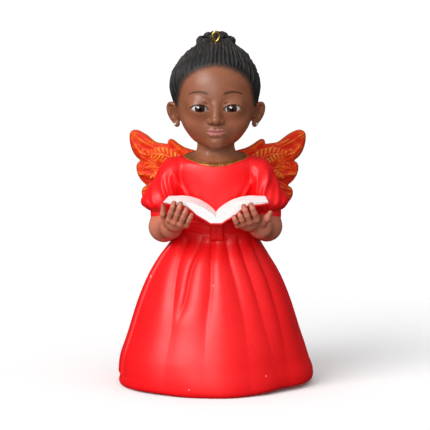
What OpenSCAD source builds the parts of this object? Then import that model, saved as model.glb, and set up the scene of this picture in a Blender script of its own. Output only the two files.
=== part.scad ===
// Resin angel figurine: a child angel in a long gown who reads from an open book.
// Millimetres, +Z up, front towards -Y, origin at the centre of the flat base.
// "left" and "right" are the angel's own, so her left side is at +X.

/* [Gown] */
// Half width of the hem
hem_rx = 33; // [31:0.5:36]
// Half depth of the hem
hem_ry = 30; // [28:0.5:33]
// Height of the skirt, from the base to the waist seam
skirt_h = 50; // [48:0.5:52]
// Number of pleats round the skirt
pleats = 16; // [8:1:24]
// Depth of a pleat where it is deepest
pleat_depth = 0.9; // [0.3:0.1:1.4]

/* [Head] */
// Height of the chin above the base
chin_z = 81; // [81:0.5:82]
// Thickness of the sculpted hair over the scalp
hair_t = 1.1; // [0.8:0.1:1.6]
// Number of combed locks in the hair
hair_locks = 24; // [16:1:28]
// Number of knots round the braided bun
bun_knots = 12; // [10:1:16]

/* [Wings] */
// Thickness of a wing
wing_t = 2.2; // [1.6:0.1:3]
// Angle that each wing sweeps back from the shoulders
wing_sweep = 14; // [8:1:20]

/* [Book] */
// Depth of the open book, from its front edge to the chest
book_depth = 12; // [9:0.5:12]
// Half width of the open pages
page_w = 17.4; // [15:0.2:18]

/* [Screw eye] */
// Outer diameter of the eye
eye_d = 4; // [3.5:0.1:5]
// Diameter of its wire
wire_d = 0.8; // [0.6:0.05:1]

/* [Hidden] */

glue = 0.05;            // gap left for glue round a peg
total_h = 120;          // top of the screw eye
waist = [13, 9.8];      // half width and half depth of the waist
skirt_top = [14.5, 12]; // half width and half depth of the skirt at the waist seam
hem_roll = 2;           // height of the rounded hem
sash_h = 6.8;
sash_t = 0.9;
armhole_x = 13.2;       // plane on which each sleeve meets the bodice
neckline_z = 75.6;      // plane on which the neck and its trim stand
neck_base = [10, 8];    // half width and half depth of the neck where it meets the gown
neck_top_z = 83.5;
neck_r = 6.2;
neck_y = 1;             // the neck stands a little behind the middle
peg_r = 3.5;            // head and neck pegs
waist_peg_r = 5;
peg_l = 5;
wing_peg = [5.5, 69];   // X and Z of each wing's peg
wing_peg_r = 1.4;
wing_pad_r = 2.6;       // pad that seats the wing in the back
wing_seat_y = 6.6;      // floor of the pad's recess
sleeve_peg = [0, 69];   // Y and Z of each sleeve's peg
sleeve_peg_r = 2;
cuff_z = 56.3;          // lower edge of the cuffs, where the bare arms begin
cuff_h = 3.2;
cuff_xy = [17.5, -1.5];
arm_peg_r = 1.6;
book_front = -22.4;     // Y of the pages' front edge
cover_z = 58.1;         // top of the cover along the spine
cover_t = 0.6;
gutter = 1.8;           // thickness of the pages at the spine
eye_xy = [0, -3.4];     // where the screw eye goes into the crown
shank_l = 8;
sides = 48;             // facets round a lofted piece

function lerp(a, b, t) = a + (b - a) * t;

// A level ring of points: centre, half width and half depth. Its folds are dips of a given depth.
function ring(c, rx, ry, n = sides, folds = 0, depth = 0) =
    [for (i = [0:n - 1])
        let (a = 360 * i / n, dip = depth * (1 - cos(folds * a)) / 2)
        [c.x + (rx - dip) * cos(a), c.y + (ry - dip) * sin(a), c.z]];

// Joins a list of rings with the same number of points into one closed solid.
// A closed one returns from the last ring to the first, and the others get flat ends.
module loft(rings, closed = false) {
    n = len(rings[0]);
    m = len(rings);
    walls = [for (j = [0:m - (closed ? 1 : 2)], i = [0:n - 1])
        let (k = (i + 1) % n, up = ((j + 1) % m) * n)
        each [[j * n + i, up + i, up + k], [j * n + i, up + k, j * n + k]]];
    ends = closed ? [] : [[for (i = [0:n - 1]) i], [for (i = [n - 1:-1:0]) (m - 1) * n + i]];
    polyhedron([for (r = rings) each r], concat(walls, ends));
}

// One side of the body, or its mirror image.
module on_side(left) {
    if (left) children();
    else mirror([1, 0, 0]) children();
}

// ---- gown ----

// How far the skirt has flared, from 0 at the waist to 1 at the hem.
function flare(s) = 0.5 * (1 - pow(1 - s, 3)) + 0.5 * s;

function skirt_ring(z) =
    let (s = min(1, (skirt_h - z) / (skirt_h - hem_roll)),
         k = flare(s),
         roll = z < hem_roll ? 1.2 * (1 - sqrt(1 - pow(1 - z / hem_roll, 2))) : 0,
         fold = pleat_depth * sin(180 * pow(s, 0.7)),
         n = 2 * sides)
    [for (i = [0:n - 1])
        let (a = 360 * i / n, dip = roll + fold * (1 - cos(pleats * a)) / 2)
        [(lerp(skirt_top.x, hem_rx, k) - dip) * cos(a), (lerp(skirt_top.y, hem_ry, k) - dip) * sin(a), z]];

module skirt() {
    levels = [0, 0.3, 1, hem_roll, 8, 15, 22, 29, 35, 40, 44, 47, skirt_h];
    color("red") union() {
        loft([for (z = levels) skirt_ring(z)]);
        translate([0, 0, skirt_h - peg_l]) cylinder(r = waist_peg_r, h = 2 * peg_l, $fn = 64);
    }
}

// The sash is one band whose section, five points, is turned round the waist.
module sash() {
    section = [[glue, 0], [sash_t, 0], [sash_t + 0.15, sash_h / 2], [sash_t - 0.1, sash_h], [glue, sash_h]];
    color("firebrick") loft([for (i = [0:sides - 1]) let (a = 360 * i / sides)
        [for (p = section) [(waist.x + p.x) * cos(a), (waist.y + p.x) * sin(a), skirt_h + p.y]]],
        closed = true);
}

// A bevelled knot on the front of the sash.
module sash_knot() {
    w = 4.7;
    h = 6.2;
    bevel = 0.7;
    front = -(waist.y + sash_t);
    color("firebrick") difference() {
        hull() {
            translate([-w / 2, front - 0.5, skirt_h + 0.2]) cube([w, 1, h]);
            translate([-w / 2 + bevel, front - 1.1, skirt_h + 0.2 + bevel])
                cube([w - 2 * bevel, 1, h - 2 * bevel]);
        }
        translate([-w, front - 0.15, 0]) cube([2 * w, 5, 2 * skirt_h]);
    }
}

module bodice_form() {
    loft([ring([0, 0, skirt_h], waist.x, waist.y),
          ring([0, 0, skirt_h + sash_h], waist.x, waist.y),
          ring([0, 0, 60], 13.6, 9.9),
          ring([0, 0, 64], 14.2, 10),
          ring([0, 0, 68], 14.6, 10),
          ring([0, 0, 72], 14.6, 9.8),
          ring([0, 0, 74.5], 13.8, 9.5),
          ring([0, 0, neckline_z], 12.4, 9.2)]);
}

module bodice() {
    color("red") difference() {
        intersection() {
            bodice_form();
            translate([-armhole_x, -20, 0]) cube([2 * armhole_x, 40, total_h]);
        }
        translate([0, 0, skirt_h - 1]) cylinder(r = waist_peg_r + glue, h = peg_l + 1.2, $fn = 64);
        translate([0, neck_y, neckline_z - peg_l]) cylinder(r = peg_r + glue, h = peg_l + 1, $fn = 48);
        for (s = [-1, 1]) {
            translate([s * wing_peg.x, wing_seat_y - 3.2, wing_peg.y]) rotate([-90, 0, 0])
                cylinder(r = wing_peg_r + glue, h = 8, $fn = 32);
            translate([s * wing_peg.x, wing_seat_y, wing_peg.y]) rotate([-90, 0, 0])
                cylinder(r = wing_pad_r + glue, h = 8, $fn = 32);
            translate([s * (armhole_x - 3.2), sleeve_peg.x, sleeve_peg.y]) rotate([0, s * 90, 0])
                cylinder(r = sleeve_peg_r + glue, h = 5, $fn = 32);
        }
    }
}

// Gold piping round the neckline: a D-shaped section that stands on the bodice.
module neckline_trim() {
    r = 0.55;
    section = [[0, 0], [2 * r, 0], [1.9 * r, r], [r, 1.6 * r], [0.1 * r, r]];
    color("goldenrod") loft([for (i = [0:sides - 1]) let (a = 360 * i / sides)
        [for (p = section)
            [(neck_base.x + glue + p.x) * cos(a), (neck_base.y + glue + p.x) * sin(a), neckline_z + p.y]]],
        closed = true);
}

// A puffed sleeve, wide just above its cuff.
module sleeve(left) {
    color("red") on_side(left) difference() {
        union() {
            intersection() {
                loft([ring([18, -1.2, 59.5], 5.2, 6.4, folds = 12, depth = 0.6),
                      ring([18, -1.2, 59.9], 6, 7.4, folds = 12, depth = 0.8),
                      ring([18.1, -1.1, 60.9], 6.8, 8.3, folds = 12, depth = 0.7),
                      ring([18, -0.9, 62.6], 7, 8.7, folds = 12, depth = 0.4),
                      ring([16.6, -0.5, 66.5], 6.4, 8.7),
                      ring([15.2, -0.2, 70.5], 5.3, 8.1),
                      ring([14.5, 0, 73.3], 4.6, 7.3),
                      ring([14, 0, 75], 3.4, 6),
                      ring([13.6, 0, 75.9], 2.2, 4)]);
                translate([armhole_x, -20, 0]) cube([20, 40, total_h]);
            }
            translate([armhole_x - 3, sleeve_peg.x, sleeve_peg.y]) rotate([0, 90, 0])
                cylinder(r = sleeve_peg_r, h = 6, $fn = 32);
        }
        translate([cuff_xy.x, cuff_xy.y, 0])
            cylinder(r = arm_peg_r + glue, h = cuff_z + cuff_h + 3.1, $fn = 32);
    }
}

// The band that gathers a sleeve above the elbow. The arm's peg goes right through it.
module cuff(left) {
    c = [cuff_xy.x, cuff_xy.y];
    color("red") on_side(left) difference() {
        loft([ring([c.x, c.y, cuff_z], 4.1, 5.1),
              ring([c.x, c.y, cuff_z + 0.5], 4.3, 5.4),
              ring([c.x, c.y, cuff_z + cuff_h], 4.2, 5.2)]);
        translate([c.x, c.y, 0]) cylinder(r = arm_peg_r + glue, h = total_h, $fn = 32);
    }
}

// ---- skin ----

module neck() {
    color("saddlebrown") union() {
        loft([ring([0, 0, neckline_z], neck_base.x, neck_base.y),
              ring([0, 0.2, neckline_z + 0.6], 9.4, 7.7),
              ring([0, 0.6, neckline_z + 1.6], 7.6, 6.9),
              ring([0, neck_y, neckline_z + 3], 6.5, 6.3),
              ring([0, neck_y, neckline_z + 4.6], neck_r, 6.1),
              ring([0, neck_y, neck_top_z], neck_r, neck_r)]);
        translate([0, neck_y, neckline_z - peg_l + 0.2]) cylinder(r = peg_r, h = 2 * peg_l, $fn = 48);
        translate([0, neck_y, neck_top_z - 3]) cylinder(r = peg_r, h = 3 + peg_l, $fn = 48);
    }
}

// The head without its ears, thickened all round by grow. Grooved hair has locks that meet on the crown.
module head_form(grow = 0, locks = 0) {
    n = locks ? 4 * locks : sides;
    groove = locks ? 0.55 : 0;
    crown_z = total_h - 6.2;
    // Height above the chin, Y of the centre, half width and half depth
    levels = [[0, -5.6, 5.2, 4.2], [1, -4.8, 7.4, 6.6], [3, -3.4, 9.8, 9.6], [6, -1.8, 11.8, 12],
              [9, -0.7, 12.8, 13.3], [13, 0.2, 13.5, 14.3], [17, 0.8, 13.9, 14.9],
              [21, 1.1, 13.9, 14.9], [25, 1.2, 13, 14], [28, 1.2, 11.3, 12.3], [30.5, 1.2, 8.6, 9.6],
              [32, 1.2, 5.8, 6.6]];
    loft([for (r = levels)
              ring([0, r[1], chin_z + r[0] - (r[0] == 0 ? grow : 0)], r[2] + grow, r[3] + grow,
                   n = n, folds = locks, depth = r[0] < 25 ? groove : groove * r[2] / 13),
          ring([0, 1.2, crown_z - 0.1 + grow], 2 + grow, 2.4 + grow, n = n)]);
}

module ear(left) {
    on_side(left) difference() {
        translate([14.2, 0.4, chin_z + 10.6]) rotate([0, 8, 12]) hull() {
            translate([1, 1.6, 1.8]) sphere(r = 1.2, $fn = 20);
            translate([1.1, 0, 2.6]) sphere(r = 1.1, $fn = 20);
            translate([0.4, 1.4, -0.6]) sphere(r = 1, $fn = 20);
            translate([-0.4, -1, -3.2]) sphere(r = 1.1, $fn = 20);
            translate([-1.6, 0, 0]) sphere(r = 2, $fn = 20);
        }
        translate([15.9, -1.6, chin_z + 12]) sphere(r = 1.3, $fn = 20);
    }
}

// The head sits over the top of the neck, on a peg.
module head() {
    color("saddlebrown") difference() {
        union() {
            head_form();
            ear(true);
            ear(false);
        }
        translate([0, neck_y, chin_z - 10])
            cylinder(r = neck_r + glue, h = neck_top_z - chin_z + 10, $fn = 64);
        translate([0, neck_y, chin_z])
            cylinder(r = peg_r + glue, h = neck_top_z - chin_z + peg_l + 0.2, $fn = 48);
        screw_eye_hole();
    }
}

// Two small studs, one in each ear lobe.
module ear_studs() {
    color("white") for (s = [-1, 1])
        translate([s * 14.3, -2.5, chin_z + 7.2]) rotate([90, 0, 0]) cylinder(r = 0.5, h = 0.6, $fn = 24);
}

// Each finger goes from its knuckle to its tip, from the index to the little finger, then the thumb.
// The right hand stands nearly upright, and the left thumb points out along the book.
right_fingers = [[[15.8, -23.8, 60.2], [14.1, -24.1, 64.3]],
                 [[14.4, -24, 58.9], [11.6, -24.2, 64.9]],
                 [[12.4, -24, 58.2], [9.8, -24.2, 63.1]],
                 [[10.4, -23.8, 57.9], [8.1, -24, 61]],
                 [[16.9, -21.5, 60.4], [17.9, -23.4, 63.9]]];
left_fingers = [[[14, -23.8, 60], [12.9, -24.1, 63.2]],
                [[13.1, -24, 58.7], [11, -24.2, 63.6]],
                [[11.2, -24, 58], [8.8, -24.2, 62.8]],
                [[9.3, -23.8, 57.8], [6.8, -24, 60.4]],
                [[15, -21.9, 60.2], [18.2, -23, 61.5]]];

// One bare arm: upper stub, forearm, palm, thumb and four fingers, from the elbow to the book.
module arm(left) {
    elbow = [18.2, -3, 53.1];
    wrist = [14, -18, 55.2];
    fingers = left ? left_fingers : right_fingers;
    color("saddlebrown") on_side(left) union() {
        hull() {
            translate(elbow) sphere(r = 4.2, $fn = 28);
            translate([cuff_xy.x, cuff_xy.y, cuff_z - 1]) cylinder(r = 3.9, h = 1, $fn = 28);
        }
        hull() {
            translate(elbow) sphere(r = 4.2, $fn = 28);
            translate(wrist) sphere(r = 2.8, $fn = 24);
        }
        hull() {
            translate(wrist) sphere(r = 2.8, $fn = 24);
            for (f = fingers) translate(f[0]) sphere(r = 1.1, $fn = 16);
            translate([13.8, -20, 60]) sphere(r = 1.8, $fn = 16);
        }
        for (f = fingers) hull() {
            translate(f[0]) sphere(r = 1.1, $fn = 16);
            translate(f[1]) sphere(r = 0.95, $fn = 16);
        }
        translate([cuff_xy.x, cuff_xy.y, cuff_z - 2]) cylinder(r = arm_peg_r, h = cuff_h + 5, $fn = 32);
    }
}

// ---- hair ----

module hair_cap() {
    color("#2c2b2e") difference() {
        head_form(hair_t, hair_locks);
        head_form();
        hairline_cut();
        translate([-20, -20, chin_z - 5]) cube([40, 40, 9.5]);
        for (s = [-1, 1]) translate([s * 10, -0.9, chin_z + 6.6]) rotate([0, s * 90, 0]) hull() {
            cylinder(r = 3.4, h = 10, $fn = 32);
            translate([-5.4, 0.6, 0]) cylinder(r = 3.4, h = 10, $fn = 32);
        }
        screw_eye_hole();
    }
}

// Everything in front of the hairline, which leans back from the forehead to the ears.
module hairline_cut() {
    translate([-20, -3.6, chin_z + 11]) rotate([20.5, 0, 0]) translate([0, -30, -10]) cube([40, 30, 50]);
}

// A braid coiled twice round on the crown, with a knot at its top.
module braided_bun() {
    c = [0, 5, 114.6];
    color("#2c2b2e") difference() {
        union() {
            for (i = [0:bun_knots - 1]) let (a = 360 * i / bun_knots, b = a + 360 / bun_knots) hull() {
                translate(c + [5.2 * cos(a), 5.2 * sin(a), 0.3]) sphere(r = 2.1, $fn = 16);
                translate(c + [4.8 * cos(b), 4.8 * sin(b), 0.3]) sphere(r = 1.5, $fn = 16);
            }
            for (i = [0:5]) let (a = 60 * i + 20) translate(c + [2.4 * cos(a), 2.4 * sin(a), 2.3])
                sphere(r = 1.8, $fn = 16);
            translate(c - [0, 0, 4]) cylinder(r = 5, h = 6, $fn = 32);
        }
        head_form(hair_t + glue);
        screw_eye_hole(1);
    }
}

// ---- hanging eye ----

eye_r = (eye_d - wire_d) / 2;
eye_z = total_h - eye_d / 2;

module screw_eye_hole(more = 0) {
    translate([eye_xy.x, eye_xy.y, eye_z - eye_r - shank_l - 0.2])
        cylinder(r = 0.55 + glue + more, h = shank_l + 1, $fn = 32);
}

// A wire eye on a shank with a wood screw's thread, drawn as rings.
module screw_eye() {
    pitch = 0.7;
    threads = 8;
    color("gold") translate([eye_xy.x, eye_xy.y, eye_z]) union() {
        rotate([90, 0, 0]) rotate_extrude($fn = 64) translate([eye_r, 0]) circle(d = wire_d, $fn = 32);
        translate([0, 0, -eye_r - shank_l]) rotate_extrude($fn = 48)
            polygon(concat([[0, 0]],
                [for (i = [0:threads - 1]) each [[0.36, (i + 0.3) * pitch], [0.55, (i + 0.65) * pitch]]],
                [[0.38, (threads + 0.3) * pitch], [0.38, shank_l], [0, shank_l]]));
    }
}

// ---- wings ----

// Front view of one wing: shoulder feather, long upper lobe, middle lobe and lower lobe.
wing_points = [[4, 74.5], [6.5, 77.2], [10.2, 77.8], [12.7, 79], [14.8, 80.5], [16, 80.9], [16.7, 80.4],
               [17, 79.1], [19.9, 79.5], [22.2, 80.4], [24.3, 82.1], [26, 83], [27.7, 83.6], [29.4, 83.5],
               [30.4, 82.7], [30.6, 81.3], [30.4, 79.2], [29.8, 77.1], [29, 75.5], [27.9, 74.2], [26.7, 73.3],
               [27.3, 72.8], [27.9, 71.9], [28.1, 70.9], [27.8, 69], [27, 67.4], [26, 66.1], [24.6, 64.8],
               [25.4, 64.2], [26.1, 63.2], [26.2, 61.7], [25.7, 60.3], [24.5, 58.8], [22.8, 57.2],
               [16, 58.6], [9.5, 62.5], [5, 65.5]];
// Raised veins, each from its root to its tip.
veins = [[[8, 72.6], [14.8, 79.4]], [[8, 71.4], [28.9, 81.6]], [[8, 70.4], [28.4, 77.2]],
         [[8, 69.2], [26.6, 70]], [[8, 67.8], [24.8, 60.8]]];

module vein(root, tip) {
    side = [root.y - tip.y, tip.x - root.x] / norm(tip - root);
    polygon([root - 0.7 * side, tip - 0.2 * side, tip + 0.2 * side, root + 0.7 * side]);
}

module wing(left) {
    hinge = [3, 10.2]; // X and Y of the line that the sweep turns about
    color("orangered") on_side(left) union() {
        translate([hinge.x, hinge.y, 0]) rotate([0, 0, wing_sweep]) translate([-hinge.x, wing_t, 0])
            rotate([90, 0, 0]) {
                linear_extrude(wing_t) polygon(wing_points);
                for (v = veins) linear_extrude(wing_t + 0.4) vein(v[0], v[1]);
            }
        translate([wing_peg.x, wing_seat_y, wing_peg.y]) rotate([-90, 0, 0])
            cylinder(r = wing_pad_r, h = 5, $fn = 32);
        translate([wing_peg.x, wing_seat_y - 3, wing_peg.y]) rotate([-90, 0, 0])
            cylinder(r = wing_peg_r, h = 5, $fn = 32);
    }
}

// ---- book ----

// Height of the cover's top, and of the pages' top, at a distance x from the spine.
function cover_top(x) = cover_z + 3 * (1 - cos(180 * min(1, max(0, (x - 1.8) / 9.5))));
function page_top(x) = cover_z + gutter + 5.6 * sin(90 * pow(x / 11, 0.75));

book_steps = 24;
page_x = [for (i = [0:book_steps]) page_w * i / book_steps];

module book_cover() {
    half = concat(page_x, [page_w + 0.6]);
    top = concat([for (i = [len(half) - 1:-1:1]) [-half[i], cover_top(half[i])]],
                 [for (x = half) [x, cover_top(x)]]);
    under = [for (i = [len(top) - 1:-1:0]) [top[i].x, top[i].y - cover_t]];
    color("red") translate([0, book_front + book_depth + 0.2, 0]) rotate([90, 0, 0])
        linear_extrude(book_depth + 0.6) polygon(concat(top, under));
}

module pages(left) {
    color("white") on_side(left) translate([0, book_front + book_depth, 0]) rotate([90, 0, 0])
        linear_extrude(book_depth)
            polygon(concat([for (x = page_x) [x, cover_top(x)]],
                           [for (i = [book_steps:-1:0]) [page_x[i], page_top(page_x[i])]]));
}

skirt();
sash();
sash_knot();
bodice();
neckline_trim();
neck();
head();
ear_studs();
hair_cap();
braided_bun();
screw_eye();
sleeve(true);  // sleeve_left
sleeve(false);  // sleeve_right
cuff(true);  // cuff_left
cuff(false);  // cuff_right
arm(true);  // arm_left
arm(false);  // arm_right
wing(true);  // wing_left
wing(false);  // wing_right
book_cover();
pages(true);  // pages_left
pages(false);  // pages_right
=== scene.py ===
"""Painted resin angel figurine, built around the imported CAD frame.

Shapes are written in millimetres in the CAD frame and turned into metres when a mesh is made.
The angel faces -Y, and her left side is at +X.
"""
import math

import bpy
import numpy as np
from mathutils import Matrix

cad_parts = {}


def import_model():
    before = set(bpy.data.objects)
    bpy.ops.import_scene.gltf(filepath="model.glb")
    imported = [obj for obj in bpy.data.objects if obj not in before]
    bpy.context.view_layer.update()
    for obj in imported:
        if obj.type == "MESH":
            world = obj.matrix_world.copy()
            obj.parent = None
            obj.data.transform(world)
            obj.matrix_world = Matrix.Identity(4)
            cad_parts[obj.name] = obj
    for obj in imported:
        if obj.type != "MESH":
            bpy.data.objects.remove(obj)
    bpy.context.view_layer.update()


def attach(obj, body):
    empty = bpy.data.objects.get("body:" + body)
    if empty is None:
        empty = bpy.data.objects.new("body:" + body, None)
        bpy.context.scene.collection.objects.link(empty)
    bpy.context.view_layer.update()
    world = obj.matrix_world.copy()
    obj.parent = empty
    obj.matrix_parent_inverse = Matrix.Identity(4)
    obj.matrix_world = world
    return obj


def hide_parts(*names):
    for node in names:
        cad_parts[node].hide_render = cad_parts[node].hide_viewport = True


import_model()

import openvdb
from mathutils import Vector

MM = 0.001
TAU = 2 * math.pi
SIDES = ((1, "left"), (-1, "right"))
HASH = (73856093, 19349663, 83492791)


# ---------------------------------------------------------------- small maths

def smooth(a, b, x):
    t = np.clip((x - a) / (b - a), 0, 1)
    return t * t * (3 - 2 * t)


def stack(*parts):
    """Puts coordinates side by side on a last axis."""
    return np.stack(parts, axis=-1)


def turns(n):
    """The angles of n even steps round a full turn."""
    return TAU * np.arange(n) / n


def curve(xs, ys, x):
    """A smooth curve through points, with its slopes limited so that it doesn't overshoot."""
    xs, ys, x = (np.asarray(v, dtype=np.float64) for v in (xs, ys, x))
    h = np.diff(xs)
    d = np.diff(ys) / h
    m = np.concatenate([[d[0]], (d[:-1] + d[1:]) / 2, [d[-1]]])
    flat = np.concatenate([[False], d[:-1] * d[1:] <= 0, [False]])
    m[flat] = 0
    i = np.clip(np.searchsorted(xs, x) - 1, 0, len(h) - 1)
    t = np.clip((x - xs[i]) / h[i], 0, 1)
    return ((1 + 2 * t) * (1 - t) ** 2 * ys[i] + t * (1 - t) ** 2 * h[i] * m[i]
            + t * t * (3 - 2 * t) * ys[i + 1] + t * t * (t - 1) * h[i] * m[i + 1])


def corners(f):
    """The eight corners of a grid cell, each with its share of a point at fractions f of the way across."""
    for at in np.ndindex(2, 2, 2):
        x, y, z = (f[..., i] if at[i] else 1 - f[..., i] for i in range(3))
        yield at, x * y * z


def noise(p, seed=0):
    """Smooth value noise from -1 to 1 at points whose last axis is X, Y, Z."""
    p = np.asarray(p, dtype=np.float64)
    cell = np.floor(p).astype(np.int64)
    f = p - cell
    f = f * f * (3 - 2 * f)
    total = 0
    for at, share in corners(f):
        n = seed * 2654435761
        for i in range(3):
            n = n ^ ((cell[..., i] + at[i]) * HASH[i])
        n = (n ^ (n >> 13)) * 1274126177 & 0x7FFFFFFF
        total = total + ((n ^ (n >> 16)) % 65536 / 32767.5 - 1) * share
    return total


# ---------------------------------------------------------------- meshes

def piece(name, verts, faces, nodes, slot, material, attributes=None, smooth_shade=True, crisp=None):
    """Makes one visible piece from millimetre points, which stands for some CAD nodes."""
    me = bpy.data.meshes.new(name)
    verts = np.asarray(verts, dtype=np.float64).reshape(-1, 3)
    faces = [np.asarray(f, dtype=np.int32) for f in (faces if isinstance(faces, list) else [faces])]
    faces = [f for f in faces if len(f)]
    loops = np.concatenate([f.ravel() for f in faces])
    sizes = np.concatenate([np.full(len(f), f.shape[1], dtype=np.int32) for f in faces])
    me.vertices.add(len(verts))
    me.vertices.foreach_set("co", (verts * MM).ravel())
    me.loops.add(len(loops))
    me.loops.foreach_set("vertex_index", loops)
    me.polygons.add(len(sizes))
    me.polygons.foreach_set("loop_start", np.concatenate([[0], np.cumsum(sizes)[:-1]]).astype(np.int32))
    me.polygons.foreach_set("loop_total", sizes)
    me.polygons.foreach_set("use_smooth", np.full(len(sizes), smooth_shade))
    me.update(calc_edges=True)
    me.validate()
    for key, values in (attributes or {}).items():
        layer = me.attributes.new(key, "FLOAT", "POINT")
        layer.data.foreach_set("value", np.asarray(values, dtype=np.float32).ravel())
    if crisp:
        me.set_sharp_from_angle(angle=math.radians(crisp))
    me.materials.append(material.m)
    ob = bpy.data.objects.new(name, me)
    bpy.context.scene.collection.objects.link(ob)
    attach(ob, "root")
    if nodes:
        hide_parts(*nodes)
    return ob


def sheet_faces(rows, cols, wrap_rows=False, wrap_cols=True):
    """Quads over a grid of points, rows by cols."""
    i = np.arange(rows if wrap_rows else rows - 1)
    j = np.arange(cols if wrap_cols else cols - 1)
    i, j = np.meshgrid(i, j, indexing="ij")
    i2, j2 = (i + 1) % rows, (j + 1) % cols
    return stack(i * cols + j, i * cols + j2, i2 * cols + j2, i2 * cols + j).reshape(-1, 4)


def join(parts):
    """Puts several (verts, faces) pairs into one."""
    verts, faces, at = [], [], 0
    for v, f in parts:
        v = np.asarray(v, dtype=np.float64).reshape(-1, 3)
        verts.append(v)
        faces += [np.asarray(g) + at for g in (f if isinstance(f, list) else [f])]
        at += len(v)
    by_size = {}
    for f in faces:
        by_size.setdefault(f.shape[1], []).append(f)
    return np.concatenate(verts), [np.concatenate(g) for g in by_size.values()]


def closed_loft(rings):
    """A closed skin over a stack of rings (n, m, 3), with its two ends filled by fans."""
    rings = np.asarray(rings, dtype=np.float64)
    n, m = rings.shape[:2]
    verts = np.concatenate([rings.reshape(-1, 3), rings[0].mean(0)[None], rings[-1].mean(0)[None]])
    j = np.arange(m)
    k = (j + 1) % m
    low = stack(np.full(m, n * m), k, j)
    high = stack(np.full(m, n * m + 1), (n - 1) * m + j, (n - 1) * m + k)
    return verts, [sheet_faces(n, m), low, high]


def tube(path, radius, sides):
    """A round tube along a path, with rounded ends where its radius falls to nothing."""
    tangent = np.gradient(path, axis=0)
    tangent /= np.linalg.norm(tangent, axis=1)[:, None] + 1e-12
    up = np.array([0.0, 0.0, 1.0]) if abs(tangent[0][2]) < 0.9 else np.array([0.0, 1.0, 0.0])
    frames = []
    for t in tangent:
        up = up - t * (up @ t)
        up /= np.linalg.norm(up)
        frames.append((up, np.cross(t, up)))
    n1 = np.array([f[0] for f in frames])[:, None]
    n2 = np.array([f[1] for f in frames])[:, None]
    a = turns(sides)
    r = radius[:, None]
    return closed_loft(path[:, None] + n1 * (r * np.cos(a))[..., None] + n2 * (r * np.sin(a))[..., None])


# ---------------------------------------------------------------- clay: signed distances on a grid

class Clay:
    """A block of clay: smooth unions and cuts on a grid of distances, turned into a mesh at the end."""

    def __init__(self, low, high, voxel):
        self.voxel = voxel
        self.low = np.array(low, dtype=np.float32)
        count = np.ceil((np.array(high) - low) / voxel).astype(int) + 1
        self.axes = [self.low[i] + voxel * np.arange(count[i], dtype=np.float32) for i in range(3)]
        self.d = np.full(count, 5.0, dtype=np.float32)

    def window(self, low, high):
        s = []
        for i in range(3):
            a = int(np.clip(np.floor((low[i] - self.low[i]) / self.voxel), 0, len(self.axes[i]) - 1))
            b = int(np.clip(np.ceil((high[i] - self.low[i]) / self.voxel) + 1, a + 1, len(self.axes[i])))
            s.append(slice(a, b))
        s = tuple(s)
        x, y, z = (self.axes[i][s[i]] for i in range(3))
        return s, x[:, None, None], y[None, :, None], z[None, None, :]

    def apply(self, shape, low, high, k, cut=False):
        pad = k + 4 * self.voxel
        s, x, y, z = self.window(np.array(low) - pad, np.array(high) + pad)
        e = shape(x, y, z).astype(np.float32)
        self.d[s] = blend_max(self.d[s], -e, k) if cut else blend_min(self.d[s], e, k)

    def ellipsoid(self, c, r, k=0.5, cut=False, turn=None):
        c, r = np.array(c, dtype=np.float32), np.array(r, dtype=np.float32)
        reach = float(r.max()) if turn is not None else r
        self.apply(lambda x, y, z: ellipsoid(x, y, z, c, r, turn), c - reach, c + reach, k, cut)

    def bone(self, a, b, ra, rb, k=0.5, cut=False):
        a, b = np.array(a, dtype=np.float32), np.array(b, dtype=np.float32)
        r = max(ra, rb)
        self.apply(lambda x, y, z: bone(x, y, z, a, b, ra, rb), np.minimum(a, b) - r, np.maximum(a, b) + r, k, cut)

    def chain(self, points, radii, k=0.3, cut=False):
        for i in range(len(points) - 1):
            self.bone(points[i], points[i + 1], radii[i], radii[i + 1], k, cut)

    def sample(self, p):
        """The distance at any points, by linear interpolation."""
        g = (np.asarray(p) - self.low) / self.voxel
        g = np.clip(g, 0, np.array(self.d.shape) - 1.001)
        i = np.floor(g).astype(int)
        f = g - i
        total = 0
        for at, share in corners(f):
            total = total + share * self.d[i[..., 0] + at[0], i[..., 1] + at[1], i[..., 2] + at[2]]
        return total

    def mesh(self):
        grid = openvdb.FloatGrid(5.0)
        grid.copyFromArray(self.d)
        points, tris, quads = grid.convertToPolygons(isovalue=0.0, adaptivity=0.0)
        verts = self.low + points.astype(np.float64) * self.voxel
        faces = [f[:, ::-1].astype(np.int32) for f in (tris, quads) if len(f)]
        return verts, faces


def blend_max(a, b, k):
    h = np.clip(0.5 + 0.5 * (b - a) / k, 0, 1)
    return a + (b - a) * h + k * h * (1 - h)


def blend_min(a, b, k):
    return -blend_max(-a, -b, k)


def ellipse(x, y, rx, ry):
    k0 = np.sqrt((x / rx) ** 2 + (y / ry) ** 2)
    k1 = np.sqrt((x / rx ** 2) ** 2 + (y / ry ** 2) ** 2)
    return k0 * (k0 - 1) / np.maximum(k1, 1e-4)


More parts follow.
